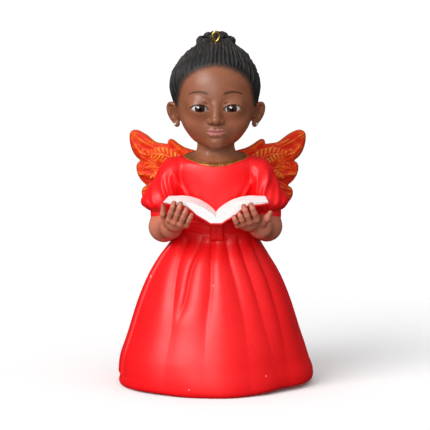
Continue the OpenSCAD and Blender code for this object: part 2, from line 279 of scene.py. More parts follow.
def part_of(verts, faces, keep):
    """The faces of a closed mesh whose middles pass a test, with every open rim closed by a fan."""
    kept = [f[keep(verts[f].mean(1))] for f in faces]
    kept = [f for f in kept if len(f)]
    used = np.unique(np.concatenate([f.ravel() for f in kept]))
    index = np.full(len(verts), -1)
    index[used] = np.arange(len(used))
    v = verts[used]
    kept = [index[f] for f in kept]
    e = np.concatenate([stack(f, np.roll(f, -1, axis=1)).reshape(-1, 2) for f in kept])
    code = e[:, 0].astype(np.int64) * len(v) + e[:, 1]
    back = e[:, 1].astype(np.int64) * len(v) + e[:, 0]
    rim = e[~np.isin(code, back)]
    nxt = {}
    for a, b in rim.tolist():
        nxt.setdefault(a, []).append(b)
    fans, centres = [], []
    while nxt:
        start = next(iter(nxt))
        loop, a = [], start
        while a in nxt:
            b = nxt[a].pop()
            if not nxt[a]:
                del nxt[a]
            loop.append(a)
            a = b
            if a == start:
                break
        c = len(v) + len(centres)
        centres.append(v[loop].mean(0))
        fans += [(loop[(i + 1) % len(loop)], loop[i], c) for i in range(len(loop))]
    if fans:
        v = np.concatenate([v, np.array(centres)])
        kept.append(np.array(fans))
    return v, kept


def ellipsoid(x, y, z, c, r, turn=None):
    x, y, z = x - c[0], y - c[1], z - c[2]
    if turn is not None:
        x, y, z = (turn[i][0] * x + turn[i][1] * y + turn[i][2] * z for i in range(3))
    k0 = np.sqrt((x / r[0]) ** 2 + (y / r[1]) ** 2 + (z / r[2]) ** 2)
    k1 = np.sqrt((x / r[0] ** 2) ** 2 + (y / r[1] ** 2) ** 2 + (z / r[2] ** 2) ** 2)
    return k0 * (k0 - 1) / np.maximum(k1, 1e-6)


def bone(x, y, z, a, b, ra, rb):
    d = b - a
    t = np.clip(((x - a[0]) * d[0] + (y - a[1]) * d[1] + (z - a[2]) * d[2]) / float(d @ d), 0, 1)
    q = np.sqrt((x - a[0] - t * d[0]) ** 2 + (y - a[1] - t * d[1]) ** 2 + (z - a[2] - t * d[2]) ** 2)
    return q - (ra + (rb - ra) * t)


def turned(axis, degrees):
    """Rows of a rotation matrix that takes shared directions into a tilted shape's own."""
    c, s = math.cos(math.radians(degrees)), math.sin(math.radians(degrees))
    m = {"x": [[1, 0, 0], [0, c, s], [0, -s, c]], "y": [[c, 0, -s], [0, 1, 0], [s, 0, c]],
         "z": [[c, s, 0], [-s, c, 0], [0, 0, 1]]}[axis]
    return np.array(m, dtype=np.float32)


def on_side(side, verts, faces):
    """A mesh made for her left side as it is, or mirrored to her right."""
    if side > 0:
        return verts, faces
    return verts * np.array([-1, 1, 1]), [f[:, ::-1] for f in faces]


# ---------------------------------------------------------------- materials

class Mat:
    """A small helper that wires a principled material."""

    def __init__(self, name):
        self.m = bpy.data.materials.new(name)
        self.m.use_nodes = True
        self.t = self.m.node_tree
        self.shader = next(n for n in self.t.nodes if n.type == "BSDF_PRINCIPLED")
        self.coords = self.t.nodes.new("ShaderNodeTexCoord").outputs["Object"]

    def set(self, **values):
        for key, v in values.items():
            self.shader.inputs[key.replace("_", " ")].default_value = v

    def link(self, a, b):
        self.t.links.new(a, b)

    def noise(self, scale, detail=4, grit=0.55, warp=0.0, squash=None):
        n = self.t.nodes.new("ShaderNodeTexNoise")
        n.inputs["Scale"].default_value = scale
        n.inputs["Detail"].default_value = detail
        n.inputs["Roughness"].default_value = grit
        n.inputs["Distortion"].default_value = warp
        src = self.coords
        if squash:
            mp = self.t.nodes.new("ShaderNodeMapping")
            mp.inputs["Scale"].default_value = squash
            self.link(src, mp.inputs["Vector"])
            src = mp.outputs["Vector"]
        self.link(src, n.inputs["Vector"])
        return n.outputs["Fac"]

    def attr(self, name):
        n = self.t.nodes.new("ShaderNodeAttribute")
        n.attribute_name = name
        return n.outputs["Fac"]

    def ramp(self, value, stops):
        r = self.t.nodes.new("ShaderNodeValToRGB")
        el = r.color_ramp.elements
        while len(el) < len(stops):
            el.new(0.5)
        for e, (pos, col) in zip(el, stops):
            e.position = pos
            e.color = (*col, 1) if isinstance(col, (tuple, list)) else (col, col, col, 1)
        self.link(value, r.inputs["Fac"])
        return r.outputs["Color"]

    def cloud(self, scale, *stops, detail=4, grit=0.55, warp=0.0):
        """A ramp over noise, for what changes softly over the surface."""
        return self.ramp(self.noise(scale, detail, grit, warp), stops)

    def mix(self, fac, a, b, blend="MIX"):
        n = self.t.nodes.new("ShaderNodeMix")
        n.data_type = "RGBA"
        n.blend_type = blend
        for key, v in ((0, fac), (6, a), (7, b)):
            if hasattr(v, "is_linked"):
                self.link(v, n.inputs[key])
            elif key == 0:
                n.inputs[0].default_value = v
            else:
                n.inputs[key].default_value = (*v, 1)
        return n.outputs[2]

    def times(self, a, b, clamp=False):
        n = self.t.nodes.new("ShaderNodeMath")
        n.operation = "MULTIPLY"
        n.use_clamp = clamp
        for key, v in ((0, a), (1, b)):
            if hasattr(v, "is_linked"):
                self.link(v, n.inputs[key])
            else:
                n.inputs[key].default_value = v
        return n.outputs[0]

    def bump(self, height, distance, over=None):
        n = self.t.nodes.new("ShaderNodeBump")
        n.inputs["Distance"].default_value = distance
        self.link(height, n.inputs["Height"])
        if over is not None:
            self.link(over, n.inputs["Normal"])
        self.link(n.outputs["Normal"], self.shader.inputs["Normal"])
        return n.outputs["Normal"]

    def colour(self, value):
        self.link(value, self.shader.inputs["Base Color"])

    def rough(self, scale, low, high, detail=4, grit=0.55):
        value = self.cloud(scale, (0.3, low), (0.7, high), detail=detail, grit=grit)
        self.link(value, self.shader.inputs["Roughness"])


def painted(name, dark, base, light, rough, coat=0.0, speck=None, specular=0.5):
    """Satin paint over cast resin: soft colour drift, brush-level grain, faint rubs and a few pale specks."""
    m = Mat(name)
    drift = m.cloud(28, (0.3, dark), (0.52, base), (0.75, light), detail=3, grit=0.5, warp=0.6)
    fine = m.cloud(900, (0.35, 0.93), (0.65, 1.0), detail=3, grit=0.6)
    col = m.mix(1.0, drift, fine, "MULTIPLY")
    if speck:
        dots = m.cloud(620, (0.83, 0.0), (0.86, 1.0), detail=1, grit=0.3)
        col = m.mix(m.times(dots, 0.5), col, speck)
    m.colour(col)
    m.rough(140, *rough, grit=0.6)
    n = m.bump(m.noise(2600, 2, 0.5), 0.000008)
    m.bump(m.noise(330), 0.00002, over=n)
    m.set(Coat_Weight=coat, Coat_Roughness=0.22, Specular_IOR_Level=specular)
    return m


gown = painted("red satin paint", (0.90, 0.0018, 0.0045), (0.97, 0.0022, 0.0055), (1.0, 0.0035, 0.008),
               (0.37, 0.45), speck=(0.95, 0.72, 0.70))
sash_red = painted("red sash paint", (0.92, 0.0015, 0.003), (0.97, 0.002, 0.004), (1.0, 0.003, 0.006),
                   (0.38, 0.48), specular=0.22)
cover_red = painted("red book cover paint", (0.70, 0.002, 0.006), (0.84, 0.003, 0.009), (0.92, 0.006, 0.014),
                    (0.34, 0.44))
paper = painted("white page paint", (0.90, 0.90, 0.89), (0.945, 0.945, 0.935), (0.965, 0.965, 0.96),
                (0.5, 0.62), specular=0.35)
pearl = painted("pearl stud paint", (0.62, 0.58, 0.54), (0.74, 0.71, 0.67), (0.85, 0.83, 0.8),
                (0.15, 0.25), coat=0.5)

SKIN = ((0.34, 0.104, 0.046), (0.405, 0.134, 0.060), (0.46, 0.165, 0.082))


def skin_paint(name, face=False, tone=(1, 1, 1)):
    m = Mat(name)
    shades = [tuple(c * k for c, k in zip(shade, tone)) for shade in SKIN]
    col = m.cloud(90, *zip((0.28, 0.5, 0.74), shades), warp=0.4)
    col = m.mix(1.0, col, m.cloud(1300, (0.3, 0.90), (0.7, 1.0), detail=3, grit=0.6), "MULTIPLY")
    # darker paint in the creases and hollows: painted shade
    col = m.mix(m.attr("crease"), col, (0.12, 0.03, 0.016))
    if face:
        col = m.mix(m.attr("blush"), col, (0.46, 0.125, 0.07))
        lips = m.cloud(700, (0.3, (0.36, 0.10, 0.085)), (0.7, (0.47, 0.17, 0.14)), detail=3)
        col = m.mix(m.attr("lips"), col, lips)
        col = m.mix(m.attr("scalp"), col, (0.045, 0.028, 0.022))
        col = m.mix(m.attr("paint"), col, (0.022, 0.010, 0.007))
    m.colour(col)
    m.rough(260, 0.33, 0.45, grit=0.6)
    n = m.bump(m.noise(2400, 3, 0.55), 0.000012)
    m.bump(m.noise(520, 3, 0.5), 0.00002, over=n)
    m.set(Coat_Weight=0.1, Coat_Roughness=0.3, Specular_IOR_Level=0.5,
          Subsurface_Weight=0.05, Subsurface_Scale=0.0006, Subsurface_Radius=(1.0, 0.35, 0.2))
    return m


# the same skin paint at three strengths: the much lighter arm copy stands in for light falling on the arms, as painted
# light; the face and neck copies are darker
skin = skin_paint("brown skin paint", tone=(0.86, 0.90, 0.94))
face_skin = skin_paint("brown face paint", face=True, tone=(0.74, 0.76, 0.80))
lit_arm_skin = skin_paint("brown arm paint", tone=(1.5, 1.42, 1.9))


def hair_paint():
    m = Mat("charcoal hair paint")
    col = m.cloud(160, (0.3, (0.007, 0.0073, 0.008)), (0.7, (0.017, 0.016, 0.0165)), grit=0.6)
    # lighter paint on the ridges of the locks and the bun: painted highlight
    col = m.mix(m.attr("ridge"), col, (0.085, 0.070, 0.063))
    col = m.mix(m.attr("root"), col, (0.075, 0.040, 0.027))
    m.colour(col)
    m.rough(600, 0.46, 0.62, detail=3)
    n = m.bump(m.noise(3200, 2, 0.5), 0.00001)
    m.bump(m.noise(900, 3), 0.00003, over=n)
    m.set(Specular_IOR_Level=0.35)
    return m


hair = hair_paint()


def gold_paint():
    m = Mat("gold trim paint")
    col = m.cloud(600, (0.3, (0.25, 0.080, 0.016)), (0.5, (0.40, 0.145, 0.028)), (0.72, (0.56, 0.25, 0.055)),
                  grit=0.6)
    # darker paint where the crease mask is set: painted shade below the neckline, and a darker tone on the trim's
    # inner cords
    m.colour(m.mix(m.attr("crease"), col, (0.17, 0.045, 0.014)))
    m.rough(900, 0.3, 0.5, detail=3)
    m.bump(m.noise(1500, 4, 0.6), 0.00003)
    m.set(Metallic=0.3)
    return m


gold = gold_paint()


def brass_wire():
    m = Mat("brass wire")
    m.colour(m.cloud(700, (0.3, (0.72, 0.40, 0.06)), (0.55, (0.92, 0.62, 0.14)), (0.75, (0.98, 0.76, 0.28)),
                     grit=0.6))
    m.rough(1200, 0.24, 0.42, detail=3)
    m.bump(m.noise(2500, 3, 0.5, squash=(1, 1, 0.2)), 0.00001)
    m.set(Metallic=1.0)
    return m


brass = brass_wire()


def wing_paint():
    """Satin orange-red, darker in the grooves as painted shade, with gold brushed over the raised strokes."""
    m = Mat("orange wing paint")
    col = m.cloud(170, (0.28, (0.70, 0.012, 0.0015)), (0.5, (0.80, 0.034, 0.002)), (0.72, (0.88, 0.095, 0.006)),
                  grit=0.6, warp=0.5)
    col = m.mix(m.attr("valley"), col, (0.58, 0.012, 0.005))
    rub = m.cloud(1300, (0.34, 0.2), (0.58, 1.0), grit=0.65, warp=0.5)
    fac = m.times(m.attr("gilt"), rub, clamp=True)
    leaf = m.cloud(700, (0.3, (0.88, 0.34, 0.03)), (0.55, (1.0, 0.60, 0.08)), (0.75, (1.0, 0.84, 0.28)), detail=3)
    col = m.mix(fac, col, leaf)
    # darker along the wing's edge: painted shade
    col = m.mix(m.times(m.attr("rim"), 0.75), col, (0.42, 0.10, 0.010))
    m.colour(col)
    m.link(m.times(fac, 0.3), m.shader.inputs["Metallic"])
    m.rough(420, 0.36, 0.5)
    m.bump(m.noise(1500, 4, 0.6), 0.00003)
    m.set(Specular_IOR_Level=0.18)
    return m


wings_red = wing_paint()


# ---------------------------------------------------------------- gown: skirt

HEIGHTS = [0, 2, 10, 19, 29.5, 38, 44, 48, 50, 52.6]
HALF_W = [33.0, 33.1, 31.9, 29.2, 25.7, 22.0, 18.4, 15.7, 14.5, 13.9]
HALF_D = [29.8, 30, 28.8, 26.2, 22.9, 19.3, 16.0, 13.0, 11.7, 10.9]
# Pleats: (height, degrees round from the front, her left positive) points down the crease, depth, half
# widths in degrees on the right and left of it, the heights over which it dies out, and what is left at the hem
PLEATS = [([(50, -46), (35, -36), (20, -31.5), (0, -32)], 1.35, 6.0, 8.0, (4, 26), 0.5),
          ([(50, -18), (43, -22.4), (32, -23.8), (24, -27.2), (0, -29)], 1.15, 2.0, 6.0, (23, 31), 0.04),
          ([(50, -3.8), (38, -2.8), (24, -5.6), (0, -6)], 1.7, 6.0, 5.0, (10, 32), 0.3),
          ([(50, 15), (34, 20.6), (24, 22.5), (0, 22)], 1.35, 8.0, 6.0, (8, 32), 0.5),
          ([(50, 34), (37, 36), (18, 40), (0, 46)], 1.1, 5.5, 7, (8, 24), 0.5),
          ([(50, 57), (30, 54), (0, 54)], 0.8, 4, 8, (4, 20), 0.35),
          ([(50, 80), (20, 77), (0, 75)], 0.95, 5, 9, (2, 18), 0.4),
          ([(50, 103), (0, 106)], 0.9, 6, 9, (6, 24), 0.3), ([(50, 127), (0, 129)], 1.1, 7, 8, (4, 22), 0.35),
          ([(50, 150), (0, 154)], 0.9, 6, 8, (10, 28), 0.2), ([(50, 173), (0, 176)], 1.1, 8, 6, (5, 24), 0.3),
          ([(50, -164), (0, -161)], 0.9, 8, 6, (9, 27), 0.2), ([(50, -141), (0, -138)], 1.1, 8, 6, (4, 22), 0.3),
          ([(50, -117), (0, -114)], 0.9, 8, 6, (8, 26), 0.25), ([(50, -95), (0, -93)], 1.0, 8, 6, (3, 20), 0.35)]


def skirt_shape():
    cols, rows = 1200, 170
    a = np.degrees(turns(cols)) - 180
    z = np.concatenate([np.linspace(0, 2.2, 18), np.linspace(2.2, 52.6, rows - 17)[1:]])
    a, z = np.meshgrid(a, z)
    rx, ry = curve(HEIGHTS, HALF_W, z), curve(HEIGHTS, HALF_D, z)
    dip = np.zeros_like(z)
    for points, depth, right, left, (low, high), rest in PLEATS:
        points = np.array(points[::-1], dtype=float)
        at = curve(points[:, 0], points[:, 1], z)
        off = (a - at + 180) % 360 - 180
        widen = 1 + 0.9 * smooth(40, 4, z)
        share = rest + (1 - rest) * smooth(low, high, z)
        q = np.where(off < 0, -off / (right * widen), off / (left * widen))
        dip += depth * share * np.exp(-q ** 1.35) * smooth(52.6, 48.5, z)
    # the narrow flap at her right side: its edge stands over the cloth in front, and ends above the hem
    edge = -73.2 + 3.5 * smooth(44, 50, z) - 1.2 * smooth(14, 4, z)
    off = a - edge
    lip = 0.62 * smooth(50, 44, z) * smooth(2.6, 4.2, z)
    dip += lip * np.where(off > 0, np.exp(-off / 11.0) * smooth(0, 1.0, off), 0)
    dip -= 0.28 * lip * np.exp(-((off + 1.1) / 1.3) ** 2)
    # below its end the hem is drawn in behind the corner
    dip += 0.4 * smooth(4.4, 3.2, z) * smooth(1.2, 2.6, z) * np.exp(-((a + 84) / 14) ** 2)
    dip -= 0.24 * smooth(3.2, 4.6, z) * smooth(16, 8, z) * np.exp(-((a + 88) / 12) ** 2)
    # broad soft swells between the pleats
    ring = stack(np.sin(np.radians(a)) * 2.4, np.cos(np.radians(a)) * 2.4, z / 26)
    dip -= 0.35 * smooth(50, 34, z) * noise(ring, 5) * smooth(0, 6, z)
    gather = 0.02 * smooth(45, 50, z) * (1 - np.cos(np.radians(a * 40)))
    roll = 0.75 * (1 - np.sqrt(np.clip(1 - np.clip(1 - z / 1.4, 0, 1) ** 2, 0, 1)))
    # the hem lies a little flatter and higher at her front left, and a touch higher at her front right
    corner = np.exp(-((a - 48) / np.where(a < 48, 26, 16)) ** 2)
    dip += 2.0 * corner * smooth(22, 0, z)
    rx, ry = rx - dip - gather - roll, ry - dip - gather - roll
    raised = 1.3 * smooth(6, 52, a) * smooth(140, 92, a) + 0.45 * np.exp(-((a + 42) / 18) ** 2)
    p = stack(rx * np.sin(np.radians(a)), -ry * np.cos(np.radians(a)), z + raised * smooth(9, 0, z))
    p[..., 0] -= 0.6 * smooth(3, 11, z) * smooth(51, 42, z)
    # a flat underside with a slight hollow
    under = [p[0] * np.array([s, s, 1]) + np.array([0, 0, h])
             for s, h in ((0.06, 1.6), (0.5, 1.6), (0.85, 1.5), (0.9, 0.0), (0.975, 0.0))]
    top = [p[-1] * np.array([s, s, 1]) for s in (0.93, 0.8)]
    return np.concatenate([np.array(under), p, np.array(top)])


piece("gown_skirt", *closed_loft(skirt_shape()), ["skirt"], "red_gown", gown)


# ---------------------------------------------------------------- gown: sash, knot, bodice, trim

def sash_shape():
    """The band: a closed section with two soft wrap folds, turned round the waist."""
    n = 420
    a = turns(n)
    section = [(0.05, 0.0), (0.7, 0.0), (0.92, 0.25), (1.02, 0.8), (1.02, 1.6), (0.95, 2.2), (1.02, 2.9),
               (1.06, 3.6), (1.03, 4.3), (0.95, 4.8), (1.0, 5.4), (1.0, 6.1), (0.86, 6.6), (0.6, 6.8), (0.05, 6.8)]
    rows = []
    for out, up in section:
        wave = 0.10 * np.sin(3 * a + up) + 0.08 * np.sin(7 * a + 2 * up)
        o = out + (wave * 0.4 if out > 0.5 else 0)
        turn = (np.degrees(a) + 180) % 360 - 180
        climb = 2.4 * np.exp(-((turn + 29) / 14) ** 2) + 0.4 * np.exp(-((turn - 55) / 18) ** 2)
        rows.append(stack((13 + o) * np.sin(a), -(9.8 + o) * np.cos(a), 50 + up + climb * (1 - up / 6.8)
                              + (wave if 0.3 < up < 6.4 else 0 * a)))
    rows = np.array(rows)
    return rows.reshape(-1, 3), [sheet_faces(len(section), n, wrap_rows=True)]


piece("waist_sash", *sash_shape(), ["sash"], "red_gown", sash_red)


def knot_shape():
    """The flat rectangular knot: a cushion with pressed edges and a soft centre fold."""
    u, v = np.meshgrid(np.linspace(-1, 1, 41), np.linspace(-1, 1, 51))
    edge = np.clip(np.minimum((1 - np.abs(u)) * 2.35, (1 - np.abs(v)) * 3.1), 0, 1)
    puff = 0.25 + 0.85 * np.sqrt(1 - (1 - edge) ** 2) - 0.10 * np.exp(-(u / 0.16) ** 2) * smooth(0, 1, edge)
    x = 0.35 + 2.45 * u * (1 - 0.04 * v * v)
    front = stack(x, -(10.85 + puff) + 0.02 * x * x, 53.3 + 3.2 * v)
    back = front.copy()
    back[..., 1] = -10.72 + 0.02 * x * x
    cols, rows = u.shape[1], u.shape[0]
    f = sheet_faces(rows, cols, wrap_cols=False)
    ring = np.concatenate([np.arange(cols), cols * np.arange(1, rows) + cols - 1,
                           cols * (rows - 1) + np.arange(cols - 2, -1, -1), cols * np.arange(rows - 2, 0, -1)])
    nxt = np.roll(ring, -1)
    wall = stack(ring, ring + rows * cols, nxt + rows * cols, nxt)
    verts = np.concatenate([front.reshape(-1, 3), back.reshape(-1, 3)])
    return verts, [np.concatenate([f, f[:, ::-1] + rows * cols, wall])]


piece("sash_tab", *knot_shape(), ["sash_knot"], "red_gown", sash_red)


SEAM_X = 13.2


def neck_edge(a):
    """Height of the neckline round the neck; a is the angle from the front."""
    return 76.8 - 1.6 * np.clip(np.cos(a), 0, 1) ** 2


# Soft ridges down the front of each sleeve: (distance from the middle, height) points, then how high they stand
RIDGES = {-1: [([(14.7, 73.9), (12.7, 69.6), (10.3, 65.2), (9, 61)], 0.42),
               ([(14.7, 73.6), (15.7, 70.2), (15.2, 67.4), (14.2, 64), (14, 60)], 0.5),
               ([(17.6, 73), (18.3, 69.6), (17.7, 66.8), (16.4, 63.4), (16.2, 60)], 0.55),
               ([(20.2, 71.5), (21.6, 67.6), (21.3, 64.2), (20.4, 60.5)], 0.42),
               ([(22.6, 66), (23.4, 63.5), (22.4, 60.5)], 0.3)],
          1: [([(11.6, 74.2), (12.6, 71.6), (11.5, 68.4), (9.6, 64.6), (9, 61)], 0.42),
              ([(14, 73.6), (13.8, 70), (13.3, 65), (13, 60)], 0.55),
              ([(17.1, 74), (17.5, 71), (16.3, 67.4), (15.3, 63.4), (15.3, 60)], 0.5),
              ([(19.9, 71.5), (21.1, 67.2), (20.9, 63), (20.2, 60.4)], 0.42),
              ([(22.4, 66), (23.2, 63.3), (22.3, 60.5)], 0.3)]}
# Soft creases of the bodice: degrees round from the front, depth, width in degrees, and the heights between
CREASES = ((-31, 0.28, 6, 57, 72), (30, 0.28, 6, 58, 72), (-14, 0.12, 8, 54, 64), (17, 0.12, 8, 54, 64),
           (138, 0.5, 9, 56, 75), (-141, 0.5, 9, 56, 75), (166, 0.35, 8, 55, 71), (-162, 0.35, 8, 55, 71))


def sculpt_gown_top():
    c = Clay((-26.5, -12, 49.4), (26.5, 11.6, 77.4), 0.25)
    x, y, z = c.axes[0][:, None, None], c.axes[1][None, :, None], c.axes[2][None, None, :]

    def by_height(levels, values):
        return curve(levels, values, c.axes[2])[None, None, :]

    levels = [49, 56.8, 60, 64, 68, 72, 74.5, 75.6, 76.4, 77.5]
    rx = by_height(levels, [12.95, 12.95, 13.6, 14.3, 14.9, 15.2, 14.9, 14.2, 13.4, 12.4])
    ry = by_height(levels, [9.75, 9.75, 10.0, 10.3, 10.4, 10.1, 9.65, 9.3, 8.9, 8.3])
    body = ellipse(x, y, rx, ry)
    angle = np.arctan2(x, -y)
    for at, depth, width, low, high in CREASES:
        off = np.abs((np.degrees(angle) - at * (1 + 0.10 * (z - 66) / 10) + 180) % 360 - 180)
        body = body + depth * np.exp(-(off / width) ** 1.6) * smooth(low, low + 8, z) * smooth(high, high - 6, z)
    body = body + 0.13 * smooth(60, 57, z) * (1 - np.cos(36 * angle))
    top = z - (neck_edge(angle) + 0.05 + 0.25 * np.abs(np.sin(angle)))
    body = blend_max(body, top, 0.7)
    # sleeves: an upright oval that widens towards the cuff, with its middle, half width and half depth by height
    out = np.abs(x)
    levels = [58.5, 59.0, 59.5, 60.1, 61.0, 62.6, 64.5, 66.5, 70.5, 73.3, 74.8, 75.7, 76.6]
    ax = by_height(levels, [17.7, 17.8, 17.9, 18, 18.1, 18, 17.4, 16.6, 15.2, 14.4, 13.7, 13.2, 12.6])
    ay = by_height(levels, [-1.5, -1.4, -1.3, -1.2, -1.1, -0.9, -0.7, -0.5, -0.2, 0, 0, 0, 0])
    rx = by_height(levels, [3.0, 4.3, 5.2, 6.1, 6.8, 7.1, 6.7, 6.1, 5.1, 4.6, 4.3, 4.0, 3.4])
    ry = by_height(levels, [4.0, 5.4, 6.4, 7.3, 8.1, 8.6, 8.7, 8.6, 8.1, 7.2, 6.3, 5.4, 4.6])
    # her left sleeve hangs a little narrower than the right one
    slim = 0.42 * (x > 0) * smooth(71, 65, z)
    rx, ax = rx - slim, ax - slim
    arm = blend_max(ellipse(out - ax, y - ay, rx, ry), z - 76.5, 1.3)
    round_arm = np.arctan2(-(y - ay) / ry, (out - ax) / rx)
    side = np.sign(x)
    flute = 0.30 * smooth(62.6, 59.6, z) * (1 - np.cos(13 * round_arm + side * 0.7 + 0.6 * np.sin(3 * round_arm)))
    rear = 0
    for at, high in ((-25, 0.35), (-55, 0.5), (-85, 0.45), (-112, 0.5), (8, 0.3)):
        line = at * (1 - 0.018 * (z - 60))
        off = (np.degrees(round_arm) - line + 180) % 360 - 180
        rear = rear + high * np.exp(-(off / 9) ** 2) * smooth(74.8, 70, z) * smooth(59.5, 62, z)
    arm = arm + flute - rear + 0.15 * smooth(74, 70, z) * smooth(60, 63, z)
    # the sleeve ends inside its cuff
    arm = blend_max(arm, 58.4 - z, 0.3)
    both = blend_min(body, arm, 1.1)
    front = smooth(-1.0, -4.0, y)
    for s in (-1, 1):
        for points, high in RIDGES[s]:
            points = np.array(points)[::-1]
            at = by_height(points[:, 1], points[:, 0])
            top, foot = points[-1, 1], points[0, 1]
            fade = smooth(top + 0.8, top - 3.4, z) * smooth(foot - 1, foot + 2, z)
            off = out - at
            wide = 0.62 + 0.25 * smooth(72, 62, z)
            both = both - ((high * np.exp(-(off / wide) ** 2) - 0.42 * high * np.exp(-((off - 1.6) / 0.95) ** 2)
                            - 0.32 * high * np.exp(-((off + 1.65) / 0.95) ** 2)) * fade * front * (side == s))
    both = np.maximum(both, 49.7 - z)
    c.d = both.astype(np.float32)
    return c


# the top of the gown is one form, cut into bodice and sleeves along a straight seam
top_verts, top_faces = sculpt_gown_top().mesh()
mid_x = [np.abs(top_verts[f].mean(1)[:, 0]) for f in top_faces]
inner = np.unique(np.concatenate([f[m <= SEAM_X].ravel() for f, m in zip(top_faces, mid_x)]))
outer = np.unique(np.concatenate([f[m > SEAM_X].ravel() for f, m in zip(top_faces, mid_x)]))
seam = np.intersect1d(inner, outer)
top_verts[seam, 0] = np.sign(top_verts[seam, 0]) * SEAM_X
piece("gown_bodice", *part_of(top_verts, top_faces, lambda m: np.abs(m[:, 0]) <= SEAM_X),
      ["bodice"], "red_gown", gown, crisp=50)
for side, name in SIDES:
    piece(f"puff_sleeve_{name}", *part_of(top_verts, top_faces, lambda m: m[:, 0] * side > SEAM_X),
          [f"sleeve_{name}"], "red_gown", gown, crisp=50)


def neckline(a):
    """The line of the gold piping: round the neck, dipping at the front. a is from the front."""
    return stack(10.4 * np.sin(a), -9.05 * np.cos(a) + 0.1, neck_edge(a) + 0.02)


def trim_shape():
    n, sides = 480, 18
    a = turns(n)
    path = neckline(a)
    out = stack(np.sin(a), -np.cos(a), 0 * a)
    parts = []
    for shift, rise, radius in ((0.0, 0.0, 0.58), (-0.8, 0.62, 0.5), (-0.4, 0.2, 0.6)):
        b = turns(sides)
        twist = 1 + (0.05 * np.sin(60 * a) + 0.04 * np.sin(23 * a + 1))[:, None]
        ring = (path + out * shift)[:, None] + out[:, None] * (radius * twist * np.cos(b))[..., None] \
            + np.array([0, 0, 1.0]) * (radius * twist * np.sin(b))[..., None]
        ring[..., 2] += rise
        parts.append((ring.reshape(-1, 3), [sheet_faces(n, sides, wrap_rows=True)[:, ::-1]]))
    return join(parts)


verts, faces = trim_shape()
# the inner cords get a darker tone, and the cords are painted darker where they dip below the neckline: painted shade
dark = np.repeat([0.0, 0.5, 0.9], len(verts) // 3)
below = smooth(-0.1, -0.5, verts[:, 2] - neckline(np.arctan2(verts[:, 0], -verts[:, 1]))[:, 2])
piece("neckline_piping", verts, faces, ["neckline_trim"], "gold_paint", gold,
      {"crease": np.clip(dark + 0.7 * below, 0, 1)})


# ---------------------------------------------------------------- cuffs

def cuff_shape():
    n = 240
    a = turns(n)
    rows = []
    for out, z in ((-2.3, 56.6), (-0.5, 56.35), (-0.1, 56.4), (0.12, 56.75), (0.16, 57.4), (0.1, 58.1),
                   (0.14, 58.7), (0.0, 59.3), (-0.4, 59.7), (-2.3, 59.8)):
        g = 0.10 * np.cos(26 * a) * (0.4 if z < 57.6 else 1)
        rows.append(stack(17.5 + (4.25 + out + g) * np.cos(a), -1.5 + (5.3 + out + g) * np.sin(a),
                          z + 0.12 * np.sin(5 * a)))
    return np.array(rows)


for side, name in SIDES:
    piece(f"sleeve_band_{name}", *on_side(side, *closed_loft(cuff_shape())), [f"cuff_{name}"], "red_gown", gown)


# ---------------------------------------------------------------- head

HEAD_C = np.array([0.0, 1.4, 99.0])
# Cranium, face and nape: centre, half sizes, and how softly each joins those before it
SKULL = [((0, 1.4, 100.2), (13.8, 14.9, 13.6), 1), ((0, -2.6, 93.2), (12.3, 10.9, 11.0), 3.5),
         ((0, 2.2, 95.4), (13.5, 12.9, 10.8), 2.0)]
EYE_R = 3.5
EYES = np.array([5.45, -10.05, 95.0])


def hairline(z):
    """How far back the hair begins at each height."""
    return -3.4 - 0.374 * (z - 92) + 0.9 * np.exp(-((z - 103.5) / 4.0) ** 2)


def lid_line(u, upper):
    """Height of the eye's opening at a distance u from its middle, in millimetres."""
    q = np.clip(1 - (u / 2.9) ** 2, 0, 1)
    return 1.36 * q ** 0.72 + 0.04 * u if upper else -1.05 * q ** 0.85 + 0.06 * u


